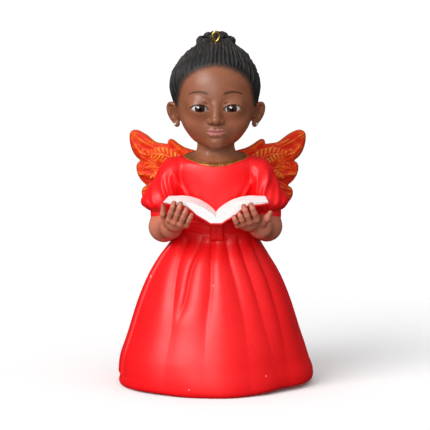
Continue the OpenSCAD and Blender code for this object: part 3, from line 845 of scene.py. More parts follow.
def sculpt_head():
    c = Clay((-18, -18, 78), (18, 18.5, 115.5), 0.2)
    for form in SKULL:
        c.ellipsoid(*form)
    c.ellipsoid((0, -4.6, 86.4), (8.4, 8.2, 5.4), 3.0)
    for s in (-1, 1):
        c.ellipsoid((s * 6.0, -7.7, 90.4), (4.8, 4.7, 4.4), 2.8)
        c.ellipsoid((s * 5.6, -16.2, 96.2), (3.8, 2.7, 2.0), 2.4, cut=True)
    c.ellipsoid((0, -10.9, 83.9), (3.0, 2.9, 2.6), 2.2)
    c.ellipsoid((0, -10.6, 88.0), (4.6, 3.3, 3.4), 1.8)
    # eyes: a ball under the lids, then the opening
    for s in (-1, 1):
        e = EYES * (s, 1, 1)
        c.ellipsoid(e, (EYE_R + 0.5,) * 3, 1.6)

        def opening(x, y, z, e=e, s=s):
            u, v = (x - e[0]) * s, z - e[2]
            d = np.maximum(v - lid_line(u, True), lid_line(u, False) - v)
            d = np.maximum(d, np.abs(u) - 2.9)
            return np.maximum(d * 0.8, y - (e[1] - 1.0)) + 0 * y
        c.apply(opening, e - (3.4, 6, 2), e + (3.4, 0, 2), 0.22, cut=True)
        # the fold above the lid
        fold = [(e[0] + s * u, e[1] - math.sqrt(max(0.5, 4.05 ** 2 - u * u - (1.9 - 0.1 * u * u) ** 2)) - 0.2,
                 e[2] + 2.35 - 0.11 * u * u) for u in (-2.6, -1.6, -0.5, 0.7, 1.8, 2.8)]
        c.chain(fold, [0.12, 0.2, 0.22, 0.22, 0.2, 0.12], 0.35, cut=True)
    # nose
    c.bone((0, -12.9, 96.0), (0, -14.0, 91.9), 1.2, 1.35, 1.6)
    c.ellipsoid((0, -14.6, 91.2), (1.5, 1.5, 1.25), 1.0)
    for s in (-1, 1):
        c.ellipsoid((s * 1.75, -13.6, 90.8), (1.05, 1.25, 0.9), 0.6)
        c.ellipsoid((s * 0.85, -14.75, 90.05), (0.5, 0.6, 0.4), 0.3, cut=True)
    c.bone((0, -14.6, 89.3), (0, -14.7, 88.4), 0.3, 0.38, 0.55, cut=True)
    # lips, closed and level
    for s in (-1, 1):
        c.chain([(0, -13.8, 87.85), (s * 0.8, -13.8, 87.98), (s * 2.1, -13.25, 87.75), (s * 3.4, -12.35, 87.5)],
                [0.5, 0.58, 0.45, 0.2], 0.5)
        c.chain([(0, -13.75, 86.45), (s * 1.3, -13.55, 86.5), (s * 2.6, -12.85, 87.05)], [0.78, 0.7, 0.35], 0.55)
    line = [(x, -14.4 + 0.148 * x * x, 87.15 + 0.033 * x * x) for x in (-3.5, -2.8, -2, -1, 0, 1, 2, 2.8, 3.5)]
    c.chain(line, [0.06, 0.12, 0.16, 0.18, 0.18, 0.18, 0.16, 0.12, 0.06], 0.3, cut=True)
    c.ellipsoid((0, -14.75, 85.15), (2.4, 1.1, 0.6), 0.9, cut=True)
    # ears, which lean out from the head
    for s in (-1, 1):
        place = np.array((s * 13.55, 0.9, 91.4))
        lean = turned("z", -s * 50) @ turned("y", s * 8)

        def at(n, d, h, s=s, place=place, lean=lean):
            return place + np.array((s * n, d, h)) @ lean
        c.ellipsoid(at(0.1, 0.1, 0.3), (0.95, 2.2, 3.5), 0.9, turn=lean)
        rim = np.array([(0.2, -1.5, 0.6), (0.7, -1.4, 2.4), (0.95, -0.5, 3.55), (1.0, 0.8, 3.75), (0.95, 1.9, 2.8),
                        (0.85, 2.2, 1.1), (0.7, 1.8, -0.8), (0.5, 0.9, -2.6)])
        t = np.linspace(0, 7, 29)
        rim = np.stack([curve(np.arange(8), rim[:, i], t) for i in range(3)], axis=-1)
        c.chain([at(*q) for q in rim], curve([0, 2, 5, 7], [0.4, 0.52, 0.48, 0.42], t), 0.3)
        c.ellipsoid(at(0.35, -0.3, -3.3), (0.8, 1.15, 1.2), 0.6, turn=lean)
        c.ellipsoid(at(1.25, 0.2, 0.5), (0.75, 1.25, 2.0), 0.45, cut=True, turn=lean)
        c.chain([at(0.95, 1.25, 2.4), at(0.95, 1.35, 0.4), at(0.8, 0.7, -1.5)], [0.32, 0.36, 0.3], 0.35)
        c.ellipsoid(at(0.75, -1.4, -0.6), (0.5, 0.6, 0.85), 0.4, turn=lean)
    return c


head_clay = sculpt_head()


def face_marks(v):
    """Painted lips, brows and lashes, cheek colour and the dark hair paint at the hairline, at each point of the head;
    the painted shade in the creases comes from hollows.
    """
    x, y, z = v[:, 0], v[:, 1], v[:, 2]
    front = smooth(-9, -11, y)
    ax = np.abs(x)
    top = 88.42 - 0.055 * (ax - 0.75) ** 2 - 0.22 * np.exp(-(ax / 0.45) ** 2) - 0.25 * smooth(1.8, 3.5, ax)
    low = 85.68 + 0.15 * ax ** 2
    lips = smooth(0.12, -0.12, z - top) * smooth(0.12, -0.12, low - z) * smooth(3.55, 3.2, ax) * front
    u, h = ax - EYES[0], z - EYES[2]
    # lash line and a fine outline round the opening
    reach = smooth(3.35, 2.9, np.abs(u - 0.12))
    up, down = h - lid_line(u, True), h - lid_line(u, False)
    lash = smooth(0.34, 0.18, np.abs(up - 0.10)) * reach + 0.35 * smooth(0.16, 0.06, np.abs(down + 0.02)) * reach
    # brows: a thin arch that tapers outwards
    b = (ax - 5.9) / 3.5
    arch = 99.6 + 1.0 * (1 - b * b) - 0.28 * b
    brow = smooth(0.46, 0.16, np.abs(z - arch) / (1.1 - 0.45 * np.clip(b, -0.6, 1))) * smooth(1.1, 0.8, np.abs(b))
    paint = np.clip(lash + 0.75 * brow, 0, 1) * front
    ragged = 0.35 * noise(v * np.array([1.4, 0.3, 1.4]), 8)
    scalp = 0.85 * smooth(-1.9, 0.2, y - hairline(z) + ragged) * smooth(93.5, 95.5, z) * (ax < 13.4)
    blush = 0.35 * np.exp(-(((ax - 7.4) / 3.2) ** 2 + ((z - 89.6) / 2.6) ** 2)) * front
    return lips, paint, blush, scalp


def hollows(clay, v, reach=0.9, gain=1.6):
    """How far each point lies in a crease: the clay there is nearer all round than over open ground."""
    n = np.zeros_like(v)
    e = clay.voxel
    for i in range(3):
        step = np.zeros(3)
        step[i] = e
        n[:, i] = clay.sample(v + step) - clay.sample(v - step)
    n /= np.linalg.norm(n, axis=1)[:, None] + 1e-9
    near = clay.sample(v + n * reach)
    return np.clip((reach - near) / reach * gain, 0, 1)


verts, faces = head_clay.mesh()
lips, paint, blush, scalp = face_marks(verts)
# the crease mask darkens the hollows of the face and ears: painted shade
crease = hollows(head_clay, verts)
piece("angel_head", verts, faces, ["head"], "brown_skin", face_skin,
      {"lips": lips, "paint": paint, "blush": blush, "scalp": scalp, "crease": 0.4 * crease})


def eye_paint():
    """White, brown iris with a darker rim, pupil and one small catchlight, by distance from the eye's axis."""
    m = Mat("painted eyes")
    d = m.attr("from_axis")
    fleck = m.cloud(2500, (0.3, 0.0), (0.7, 1.0), detail=2, grit=0.5)
    iris = m.mix(fleck, (0.040, 0.013, 0.007), (0.085, 0.028, 0.014))
    rim = m.ramp(d, [(0.80, 0.0), (0.96, 1.0)])
    iris = m.mix(rim, iris, (0.012, 0.006, 0.004))
    white = m.cloud(600, (0.3, (0.60, 0.57, 0.55)), (0.7, (0.72, 0.70, 0.68)), detail=2)
    col = m.mix(m.attr("iris"), white, iris)
    col = m.mix(m.attr("pupil"), col, (0.004, 0.003, 0.003))
    col = m.mix(m.attr("light"), col, (0.95, 0.95, 0.95))
    m.colour(col)
    m.rough(900, 0.08, 0.14, detail=2)
    m.set(Coat_Weight=0.6, Coat_Roughness=0.05)
    return m


eye_mat = eye_paint()


def eye_shape(side):
    """The front of an eyeball, a fine dome whose paint follows the distance from its axis."""
    rings, n = 90, 128
    b = np.linspace(0.002, 1.35, rings)[:, None]
    a = turns(n)[None]
    local = stack(np.sin(b) * np.cos(a), -np.cos(b) + 0 * a, np.sin(b) * np.sin(a)) * EYE_R
    # the cornea stands out a little
    local[..., 1] -= 0.18 * np.exp(-(np.sin(b) * EYE_R / 1.3) ** 4)
    p = local + EYES * (side, 1, 1)
    d = np.hypot(local[..., 0] + side * 0.12, local[..., 2] - 0.05)
    light = smooth(0.27, 0.17, np.hypot(local[..., 0] + 0.45, local[..., 2] - 0.5))
    v, f = closed_loft(p[::-1])
    pad = lambda w: np.concatenate([w[::-1].ravel(), [0, w[0, 0]]])
    return v, f, {"iris": pad(smooth(1.76, 1.64, d)), "pupil": pad(smooth(0.82, 0.72, d)), "light": pad(light),
                  "from_axis": pad(np.clip(d / 1.62, 0, 1))}


for side, name in SIDES:
    v, f, at = eye_shape(side)
    piece(f"painted_eye_{name}", v, f, None, "brown_skin", eye_mat, at)


def stud_shape(side):
    """A small domed stud on the ear lobe."""
    c = np.array((side * 13.72, -0.32, 88.05))
    b = np.linspace(0.01, math.pi - 0.01, 20)[:, None]
    a = turns(32)[None]
    p = stack(0.48 * np.sin(b) * np.cos(a), -0.42 * np.cos(b) + 0 * a, 0.48 * np.sin(b) * np.sin(a))
    return closed_loft(p[::-1] + c)


piece("ear_stud_pair", *join([stud_shape(1), stud_shape(-1)]), ["ear_studs"], "pale_studs", pearl)


def neck_shape():
    n = 240
    z = np.concatenate([[74.6], np.linspace(75.4, 86.5, 70)])
    levels = [74.6, 75.4, 76.2, 76.7, 77.4, 78.6, 80.2, 82.5, 86.5]
    rx = curve(levels, [10.2, 10.15, 9.6, 9.0, 7.9, 6.85, 6.3, 6.25, 6.6], z)[:, None]
    ry = curve(levels, [8.4, 8.45, 8.0, 7.55, 6.95, 6.4, 6.1, 6.15, 6.6], z)[:, None]
    cy = curve(levels, [0.1, 0.1, 0.1, 0.2, 0.45, 0.8, 1.0, 0.9, 0.6], z)[:, None]
    a = turns(n)[None]
    # two soft cords at the front and a shallow notch between the collar bones
    front = np.clip(np.cos(a), 0, 1)
    z2 = z[:, None] + 0 * a
    bulge = 0.22 * np.exp(-((np.abs(np.sin(a)) - 0.45) / 0.16) ** 2) * (np.cos(a) > 0) * smooth(76, 78.5, z2)
    notch = 0.35 * np.exp(-(np.sin(a) / 0.16) ** 2) * (np.cos(a) > 0) * smooth(79.5, 77.5, z2)
    fold = 0.12 * np.exp(-((z2 - 80.3 + 0.7 * front) / 0.22) ** 2) * front
    s = bulge - notch - fold
    # the lowest rows follow the neckline, so that skin meets piping all the way round
    lift = (neck_edge(a) + 0.5 - 75.8) * smooth(79.0, 75.8, z2)
    return stack((rx + s) * np.sin(a), cy - (ry + s) * np.cos(a), z2 + lift)


verts, faces = closed_loft(neck_shape())
over_trim = verts[:, 2] - neck_edge(np.arctan2(verts[:, 0], -verts[:, 1]))
# painted shade: darker at the top of the neck under the chin and just above the piping
piece("angel_neck", verts, faces, ["neck"], "brown_skin", skin,
      {"crease": 0.3 * smooth(82.2, 84.5, verts[:, 2]) + 0.55 * smooth(1.5, 0.8, over_trim)})


# ---------------------------------------------------------------- hair

def hair_shape():
    """Combed locks that run from the hairline to the bun, over the sculpted head."""
    cols, rows = 1080, 84
    pole = np.array([0, 4.2, 15.4])
    pole /= np.linalg.norm(pole)
    front = np.array([0, -1.0, 0]) - pole * -pole[1]
    front /= np.linalg.norm(front)
    right = np.cross(pole, front)
    phi = turns(cols)

    def aim(P, T):
        """Directions at an angle T from the bun's pole, P round from the front."""
        across = np.cos(P)[..., None] * front + np.sin(P)[..., None] * right
        return np.cos(T)[..., None] * pole + np.sin(T)[..., None] * across

    # find where each lock ends: march down from the pole until the point leaves the hair's area
    theta = np.linspace(0.05, 2.65, 210)
    surface, _ = cast(aim(*np.meshgrid(phi, theta)))
    y, z = surface[..., 1], surface[..., 2]
    low = 94.6 - 8.6 * smooth(1.0, 6.5, y)
    inside = (y > hairline(z)) & (z > low)
    first_out = np.where(inside.all(axis=0), len(theta) - 1, np.argmax(~inside, axis=0))
    edge = theta[np.clip(first_out, 1, None)]
    k = np.array([1, 2, 3, 4, 3, 2, 1]) / 16.0
    for _ in range(3):
        edge = np.convolve(np.concatenate([edge[-3:], edge, edge[:3]]), k, mode="valid")
    for height, scale, seed in ((0.012, 22, 3), (0.008, 55, 4)):
        edge = edge + height * noise(stack(phi * scale, 0 * phi, 0 * phi), seed)
    s = np.linspace(0, 1, rows)[:, None] ** 0.85
    T = 0.16 + (edge[None] - 0.16) * s
    P = phi[None] + 0 * s
    way = aim(P, T)
    surface, r = cast(way)
    # locks: broad lumps and fine strands, both by the angle round the bun, wandering a little
    wob = P + 0.045 * noise(stack(np.cos(P) * 5, np.sin(P) * 5, s * 4 + 0 * P), 11) \
        + 0.012 * noise(stack(np.cos(P) * 16, np.sin(P) * 16, s * 13 + 0 * P), 12)
    ring = lambda f, seed: noise(stack(np.cos(wob) * f, np.sin(wob) * f, s * 0.5 + 0 * P), seed)
    lump = 1 - np.abs(np.sin(wob * 29 + 1.6 * ring(2.2, 2))) ** 1.6
    fine = 1 - np.abs(np.sin(wob * 88 + 2.2 * ring(6, 7)))
    hairs = ring(38, 9)
    bold = 0.85 + 0.35 * noise(stack(np.cos(P) * 7, np.sin(P) * 7, s * 2.5 + 0 * P), 14)
    groove = bold * (0.50 * (lump - 0.5) + 0.20 * (fine - 0.5)) + 0.08 * hairs
    # short curls that break the comb lines towards the crown
    groove += 0.34 * smooth(0.8, 0.35, s) * noise(surface, 15)
    groove += 0.20 * smooth(0.85, 0.4, s) * noise(surface * 2.2, 16)
    groove *= smooth(0, 0.12, s) * (0.2 + 0.8 * smooth(1.0, 0.78, s))
    wire = np.exp(-((surface[..., 0] / 0.9) ** 2 + ((surface[..., 1] + 3.3) / 0.9) ** 2))
    groove = groove * (1 - 0.9 * wire) - 0.45 * wire
    # how thick it lies: thin at the hairline, a mound before the bun, and fuller at her right
    t = 0.96 * smooth(1.02, 0.70, s) + 0.03
    ahead = np.clip(np.cos(P), 0, 1)
    mound = 1.15 * smooth(0.98, 0.62, T) + smooth(0.85, 0.58, T) * ahead ** 2
    t = t + mound * (0.3 + 0.7 * ahead) + 0.5 * smooth(0.45, 0.2, T)
    x, z = surface[..., 0], surface[..., 2]
    t = t + 0.7 * smooth(3, 11, -x) * smooth(90, 99, z) * smooth(112, 104, z) * smooth(1.0, 0.75, s)
    outer = HEAD_C + way * (r + t + groove * (0.3 + 0.7 * smooth(1, 0.9, s)))[..., None]
    inner = HEAD_C + way[::-1] * (r[::-1] - 0.5)[..., None]
    v, f = closed_loft(np.concatenate([outer, inner]))
    # lighter paint on the raised locks and in patches towards the crown: painted highlight
    ridge = np.clip(0.5 * lump + 0.5 * fine, 0, 1) ** 1.5 * (0.42 + 0.35 * hairs) * smooth(1.0, 0.75, s)
    ridge = ridge + smooth(0.66, 0.34, s) * (0.16 + 0.55 * np.clip(noise(surface * 1.5, 18), 0, 1))
    root = 0.85 * smooth(0.90, 1.0, s + 0.02 * hairs) + 0 * P
    pad = lambda w: np.concatenate([w.ravel(), w[::-1].ravel() * 0, [0, 0]])
    return v, f, {"ridge": pad(np.clip(ridge, 0, 1)), "root": pad(root)}


def cast(way):
    """Where rays from the middle of the head leave the bare skull, and how far out that is."""
    t = np.full(way.shape[:-1], 11.0)
    for _ in range(26):
        t = t - 0.9 * skull(HEAD_C + way * t[..., None])
    return HEAD_C + way * t[..., None], t


def skull(p):
    """The head without ears or features."""
    x, y, z = p[..., 0], p[..., 1], p[..., 2]
    d = ellipsoid(x, y, z, *SKULL[0][:2])
    for centre, size, k in SKULL[1:]:
        d = blend_min(d, ellipsoid(x, y, z, centre, size), k)
    return d


v, f, at = hair_shape()
piece("combed_hair", v, f, ["hair_cap"], "charcoal_hair", hair, at)


# Rings of lobes in the bun: how many, ring radius, height, half sizes of a lobe, degrees to the first, tilt
BUN_RINGS = ((12, 5.5, 114.0, (1.85, 1.45, 1.35), 8, 34), (11, 5.35, 115.5, (1.8, 1.4, 1.3), 24, -34),
             (7, 2.9, 117.0, (1.75, 1.35, 1.15), 26, 34), (3, 0.95, 117.7, (1.35, 1.05, 0.95), 40, -34))


def sculpt_bun():
    """A plait coiled into a knot: tilted lobes that overlap, each with its strands, in rings round the middle."""
    c = Clay((-8.6, -3.9, 110.6), (8.6, 14, 119.2), 0.15)
    c.ellipsoid((0, 4.9, 113.2), (6.0, 6.0, 3.4), 1)
    lobes = []
    for count, radius, height, size, start, tilt in BUN_RINGS:
        rng = np.random.default_rng(count)
        for i in range(count):
            a = math.radians(start) + TAU * i / count + rng.uniform(-0.05, 0.05)
            scale = 1 + rng.uniform(-0.08, 0.08)
            lobes.append((a, radius, height + rng.uniform(-0.15, 0.15), np.array(size) * scale, math.radians(tilt)))
    for a, radius, height, size, tilt in lobes:
        out = np.array([math.sin(a), -math.cos(a), 0])
        along = np.array([math.cos(a), math.sin(a), 0])
        up = np.array([0, 0, 1.0])
        axis = along * math.cos(tilt) + up * math.sin(tilt)
        cross = -along * math.sin(tilt) + up * math.cos(tilt)
        place = np.array([0, 4.9, 0]) + out * radius + up * height
        turn = np.stack([axis, out, cross]).astype(np.float32)
        size = size.astype(np.float32)

        def lobe(x, y, z, place=place, turn=turn, size=size):
            x, y, z = x - place[0], y - place[1], z - place[2]
            q = [turn[i][0] * x + turn[i][1] * y + turn[i][2] * z for i in range(3)]
            d = ellipsoid(*q, (0, 0, 0), size)
            spin = np.arctan2(q[2], q[1])
            return d + 0.07 * (1 - 2 * np.abs(np.cos(spin * 3.5 + 0.7 * q[0])))
        reach = float(size.max())
        c.apply(lobe, place - reach, place + reach, 0.10)
    return c


bun_clay = sculpt_bun()
verts, faces = bun_clay.mesh()
# lighter paint over the lobes, kept out of the crevices: painted highlight, with painted shade in the crevices
crease = hollows(bun_clay, verts, 0.6, 1.4)
piece("braided_top_bun", verts, faces, ["braided_bun"], "charcoal_hair", hair,
      {"ridge": np.clip(0.38 - 1.2 * crease, 0, 1), "root": np.zeros(len(verts))})


# ---------------------------------------------------------------- screw eye

def eye_hook():
    """One bent wire: a nearly closed eye, a neck and a threaded shank that goes into the crown."""
    a = np.linspace(math.radians(-90), math.radians(266), 160)
    pinch = 1 - 0.30 * smooth(0.1, -1.0, np.sin(a))
    ring = stack(1.22 * np.cos(a) * pinch, -3.4 + 0.05 * (a - a.mean()) / 3.0, 118.02 + 1.6 * np.sin(a))
    end = ring[-1]
    t = np.linspace(0.08, 1, 16)
    down = stack(end[0] * (1 - t), end[1] + (-3.4 - end[1]) * t, end[2] - 1.6 * t)
    shank = np.array([[0, -3.4, z] for z in np.linspace(114.7, 108.4, 60)])
    path = np.concatenate([ring, down, shank])
    r = np.full(len(path), 0.37)
    r[:4] = [0.2, 0.3, 0.35, 0.37]
    z = path[:, 2]
    shaft = np.arange(len(r)) >= len(ring) + len(down)
    r = r + 0.12 * smooth(114.7, 114.1, z) * (0.5 + 0.5 * np.sin(z * TAU / 0.7)) * shaft
    r[-6:] = np.linspace(0.4, 0.05, 6)
    return tube(path, r, 24)


piece("brass_screw_eye", *eye_hook(), ["screw_eye"], "brass_eye", brass)


# ---------------------------------------------------------------- arms and hands

def finger(c, knuckle, tip, r, bend=0.75):
    """A finger of three short bones, bent a little towards the front, with faint creases at its joints."""
    k, t = np.array(knuckle, dtype=float), np.array(tip, dtype=float)
    mid = k + (t - k) * 0.42 + np.array([0, -bend, 0.1])
    far = k + (t - k) * 0.74 + np.array([0, -bend * 0.8, 0.05])
    c.chain([k, mid, far, t], [r * 1.05, r * 1.03, r * 0.95, r * 0.8], 0.22)
    for p, q in ((mid, 0.12), (far, 0.1)):
        c.bone(p + (-0.45, -r * 1.1, 0), p + (0.45, -r * 1.1, 0), q, q, 0.22, cut=True)
    # the nail, a shallow pad on the finger's back near the tip
    d = (t - far) / np.linalg.norm(t - far)
    c.ellipsoid(t + np.array([0, -r * 0.62, 0]) - d * 0.1, (r * 0.5, 0.2, r * 0.6), 0.12)


# Each hand, her right and then her left: four fingers as knuckle, tip and radius, the thumb's points, its radii
HANDS = ((((15.5, -22.3, 59.3), (13.9, -23.7, 65.1), 1.0), ((13.7, -22.9, 58.5), (11.7, -23.9, 64.9), 1.04),
          ((11.8, -23.0, 57.9), (9.9, -23.8, 63.0), 1.06), ((9.8, -22.6, 57.5), (8.2, -23.5, 61.1), 0.92)),
         ((16.3, -18.4, 58.0), (17.5, -20.4, 60.8), (17.5, -21.6, 64.1)), (1.5, 1.0, 0.66)), \
        ((((13.35, -22.3, 59.4), (11.6, -23.7, 64.5), 1.08), ((11.05, -22.8, 58.6), (9.2, -23.9, 64.0), 1.08),
          ((9.15, -22.9, 58.0), (7.75, -23.8, 61.6), 1.0), ((7.3, -22.5, 57.4), (6.0, -23.4, 60.4), 0.92)),
         ((15.4, -18.2, 57.8), (17.0, -20.0, 59.4), (18.0, -20.7, 61.3)), (1.8, 1.25, 0.85))


def sculpt_arm(left):
    """A bare arm on her left side; the right one is mirrored afterwards."""
    c = Clay((3.2, -28, 46), (24.5, 5, 69), 0.16)
    out, low = (-0.15, 0.1) if left else (0.15, -0.15)
    c.bone((17.5, -1.6, 57.4), (17.5 + out, -2.6, 54.2), 3.9, 4.2, 0.6)
    c.ellipsoid((17.35 + out, -3.6, 53.6 + low), (4.5, 4.9, 4.3), 2.6)
    c.bone((17.0 + out, -5.0, 53.7 + low), (14.9, -14.6, 55.3), 4.0, 3.2, 2.6)
    fingers, thumb, thick = HANDS[left]
    knuckles = np.array([f[0] for f in fingers])
    palm = knuckles.mean(0) + np.array([0.3, 2.4, -0.5])
    c.bone((14.9, -14.6, 55.3), palm + (0.8, 1.6, -0.3), 3.1, 2.4, 2.6)
    c.ellipsoid(palm, (3.5, 2.5, 2.7), 1.8, turn=turned("x", -25))
    for k, t, r in fingers:
        c.bone(palm, k, 1.7, r * 1.15, 0.9)
    for k, t, r in fingers:
        finger(c, k, t, r)
    c.chain(thumb, thick, 0.8)
    c.ellipsoid(np.array(thumb[2]) + (0.1, -0.5 * thick[2] - 0.1, 0.1), (0.45, 0.3, 0.5), 0.15)
    # the crease at the wrist
    c.chain([(16.9, -16.6, 57.4), (14.8, -17.4, 58.8), (12.4, -16.9, 57.4)], [0.06, 0.09, 0.06], 0.5, cut=True)
    return c


for side, name in SIDES:
    clay = sculpt_arm(side > 0)
    v, f = clay.mesh()
    # painted shade in the hollows, stronger on the hands
    crease = hollows(clay, v, 0.7, 1.5) * (0.15 + 0.65 * smooth(-14.5, -18.5, v[:, 1]))
    piece(f"bare_arm_{name}", *on_side(side, v, f), [f"arm_{name}"], "brown_skin", lit_arm_skin, {"crease": crease})


# ---------------------------------------------------------------- book

BOOK_Y = (-22.4, -10.4)
PAGE_W = 17.4


def cover_top(x):
    return 58.1 + 3 * (1 - np.cos(math.pi * np.clip((x - 1.8) / 9.5, 0, 1)))


def page_top(x):
    crown = 12.5
    rise = np.sin(math.pi / 2 * (np.clip(x, 0, crown) / crown) ** 0.8)
    return 59.9 + 5.5 * rise - 0.02 * np.clip(x - crown, 0, None)


def page_foot(x):
    """Underside of the pages: on the cover, but the block grows thin towards its outer ends."""
    thick = 3.6 - 2.75 * smooth(4, 15, x) - 0.5 * smooth(14.5, PAGE_W, x)
    return np.maximum(cover_top(x) + 0.02, page_top(x) - thick)


def slant(y, left=True):
    """The free edges lean in towards the far side, more so at her right."""
    return 1 - np.where(left, 0.055, 0.095) * np.clip((y - BOOK_Y[0]) / (BOOK_Y[1] - BOOK_Y[0]), 0, 1)


def pages_shape(left):
    """One side's pages: the open page on top, and leaves that show as fine steps on every edge."""
    nx, nt, ny = 110, 61, 60
    x = PAGE_W * np.linspace(0, 1, nx) ** 0.9
    t = np.linspace(0, 1, nt)
    leaf = 0.05 * (1 - 2 * np.abs((t * 15) % 1 - 0.5)) - 0.05
    lo, hi = page_foot(x), page_top(x)
    sec = []
    for tt, l in zip(t, leaf):
        xs = x + np.where(x > PAGE_W * 0.97, l * 1.2, 0)
        sec.append(stack(xs, lo + (hi - lo) * tt))
    sec = np.array(sec)                       # (nt, nx, 2)
    outline = np.concatenate([sec[0], sec[1:, -1], sec[-1, -2::-1], sec[-2:0:-1, 0]])
    tt = np.concatenate([np.zeros(nx), t[1:], np.ones(nx - 1), t[-2:0:-1]])
    n = len(outline)
    # loft the outline from the front edge to the back, drawing in by a leaf's step near each end
    near, far = BOOK_Y
    ys = np.concatenate([[near + 0.02], np.linspace(near + 0.08, far - 0.08, ny), [far - 0.02]])
    rings = []
    for y in ys:
        edge = min(y - near, far - y)
        shrink = 0.05 * max(0, 1 - edge / 0.1)
        z = outline[:, 1] - shrink * (tt > 0.5)
        warp = 0.06 * np.sin(outline[:, 0] * 0.9 + y * 0.35) * (tt == 1) * smooth(0, 2, outline[:, 0])
        rings.append(stack(outline[:, 0] * slant(y, left), y + 0 * z, z + warp))
    v = np.array(rings).reshape(-1, 3)
    f = sheet_faces(len(ys), n)
    # the two end faces are grids of their own, so that the leaves can show
    ends = []
    for y, s in ((near, -1), (far, 1)):
        step = np.abs(leaf)[:, None] * 1.6 * smooth(0.0, 0.6, sec[..., 0])
        g = stack(sec[..., 0] * slant(y, left), y - s * step, sec[..., 1])
        gf = sheet_faces(nt, nx, wrap_cols=False)
        ends.append((g.reshape(-1, 3), [gf if s < 0 else gf[:, ::-1]]))
    return join([(v, [f])] + ends)


for side, name in SIDES:
    piece(f"book_pages_{name}", *on_side(side, *pages_shape(side > 0)), [f"pages_{name}"], "white_pages", paper)


def cover_shape():
    """The cover: one bent board with rounded edges, a touch larger than the pages, with hinge grooves."""
    w = PAGE_W + 0.6
    x = np.linspace(-w, w, 181)
    top = page_foot(np.abs(x)) - 0.02
    slope = np.gradient(top, x)
    nrm = stack(slope, -np.ones_like(slope)) / np.sqrt(1 + slope ** 2)[:, None]
    thick = 0.62 - 0.14 * np.exp(-((np.abs(x) - 1.9) / 0.35) ** 2)
    mid = stack(x, top) + nrm * 0.31
    rings = []
    y0, y1 = BOOK_Y[0] - 0.4, BOOK_Y[1] + 0.2
    b = turns(60)
    cy, cz = np.cos(b), np.sin(b)
    flat = np.sign(cy) * np.abs(cy) ** 0.18
    tall = np.sign(cz) * np.abs(cz) ** 0.7
    for i in range(len(x)):
        end = min(i, len(x) - 1 - i)
        s = math.sqrt(max(0.02, 1 - max(0, 1 - end / 3) ** 2))
        yy = (y0 + y1) / 2 + (y1 - y0) / 2 * flat * (0.985 + 0.015 * s)
        off = thick[i] / 2 * tall * s
        across, up = mid[i, 0] + nrm[i, 0] * off, mid[i, 1] + nrm[i, 1] * off
        rings.append(stack(across * slant(yy, x[i] > 0), yy, up))
    return closed_loft(np.array(rings))


piece("book_cover_board", *cover_shape(), ["book_cover"], "red_cover", cover_red)


# ---------------------------------------------------------------- wings

HINGE = np.array([3.0, 10.2])
SWEEP = math.radians(14)
OUTLINE = np.array([[4, 74.5], [6.5, 77.2], [10.2, 77.8], [12.7, 79], [14.8, 80.6], [16, 81], [16.8, 80.5], [17, 79.1],
                    [18.2, 79.3], [19.9, 79.5], [21.2, 79.8], [22.2, 80.5], [24.3, 82.2], [26, 83.1], [27.7, 83.8],
                    [29.4, 83.7], [30.5, 82.8], [30.8, 81.3], [30.6, 79.2], [30, 77.1], [29.2, 75.5], [28.1, 74.2],
                    [26.6, 73.2], [27.5, 72.8], [28.1, 71.9], [28.3, 70.9], [28, 69], [27.2, 67.4], [26.2, 66.1],
                    [24.4, 64.8], [25.6, 64.3], [26.3, 63.2], [26.4, 61.7], [25.9, 60.3], [24.7, 58.8], [22.8, 57],
                    [16, 58.6], [9.5, 62.5], [5, 65.5]])
# Feathers: spine points, half width, lift, strokes per millimetre, whether the strokes run along it, gilt
FEATHERS = [([(5, 73.4), (10.8, 76.4), (16.4, 80.6)], 2.5, 0.50, 1.15, True, 0.35),
            ([(8, 71.4), (17.5, 76.4), (24.5, 79.4), (30.2, 82.8)], 4.9, 0.42, 0.75, True, 0.55),
            ([(12, 70.4), (20, 73.6), (26, 76.2), (30.4, 80)], 2.9, 0.66, 0.80, True, 0.65),
            ([(11.6, 72.2), (17.4, 75.4), (24.2, 76.0)], 2.7, 1.0, 0.72, False, 1.35),
            ([(8, 69.2), (18, 71.0), (28.0, 70.8)], 4.0, 0.42, 0.7, True, 0.4),
            ([(12, 68.2), (20, 68.4), (27.4, 68.9)], 1.9, 0.66, 0.8, True, 0.55),
            ([(8, 67), (17, 64.4), (26.2, 61.6)], 3.9, 0.42, 0.7, True, 0.42),
            ([(13, 70.6), (17.6, 70.0), (22.4, 67.8)], 1.8, 0.88, 0.8, False, 1.2)]


def rounded(poly, times=2):
    for _ in range(times):
        q, nxt = poly, np.roll(poly, -1, axis=0)
        poly = np.stack([q * 0.75 + nxt * 0.25, q * 0.25 + nxt * 0.75], axis=1).reshape(-1, 2)
    return poly


def inside_distance(poly, u, w):
    """Distance to a closed outline, negative inside."""
    d = np.full(u.shape, 1e9)
    sign = np.ones(u.shape)
    n = len(poly)
    for i in range(n):
        a, b = poly[i], poly[(i + 1) % n]
        e = b - a
        t = np.clip(((u - a[0]) * e[0] + (w - a[1]) * e[1]) / (e @ e), 0, 1)
        d = np.minimum(d, (u - a[0] - t * e[0]) ** 2 + (w - a[1] - t * e[1]) ** 2)
        cond = ((w >= a[1]) != (w >= b[1])) & ((b[0] - a[0]) * (w - a[1]) / (b[1] - a[1] + 1e-12) + a[0] > u)
        sign[cond] *= -1
    return np.sqrt(d) * sign


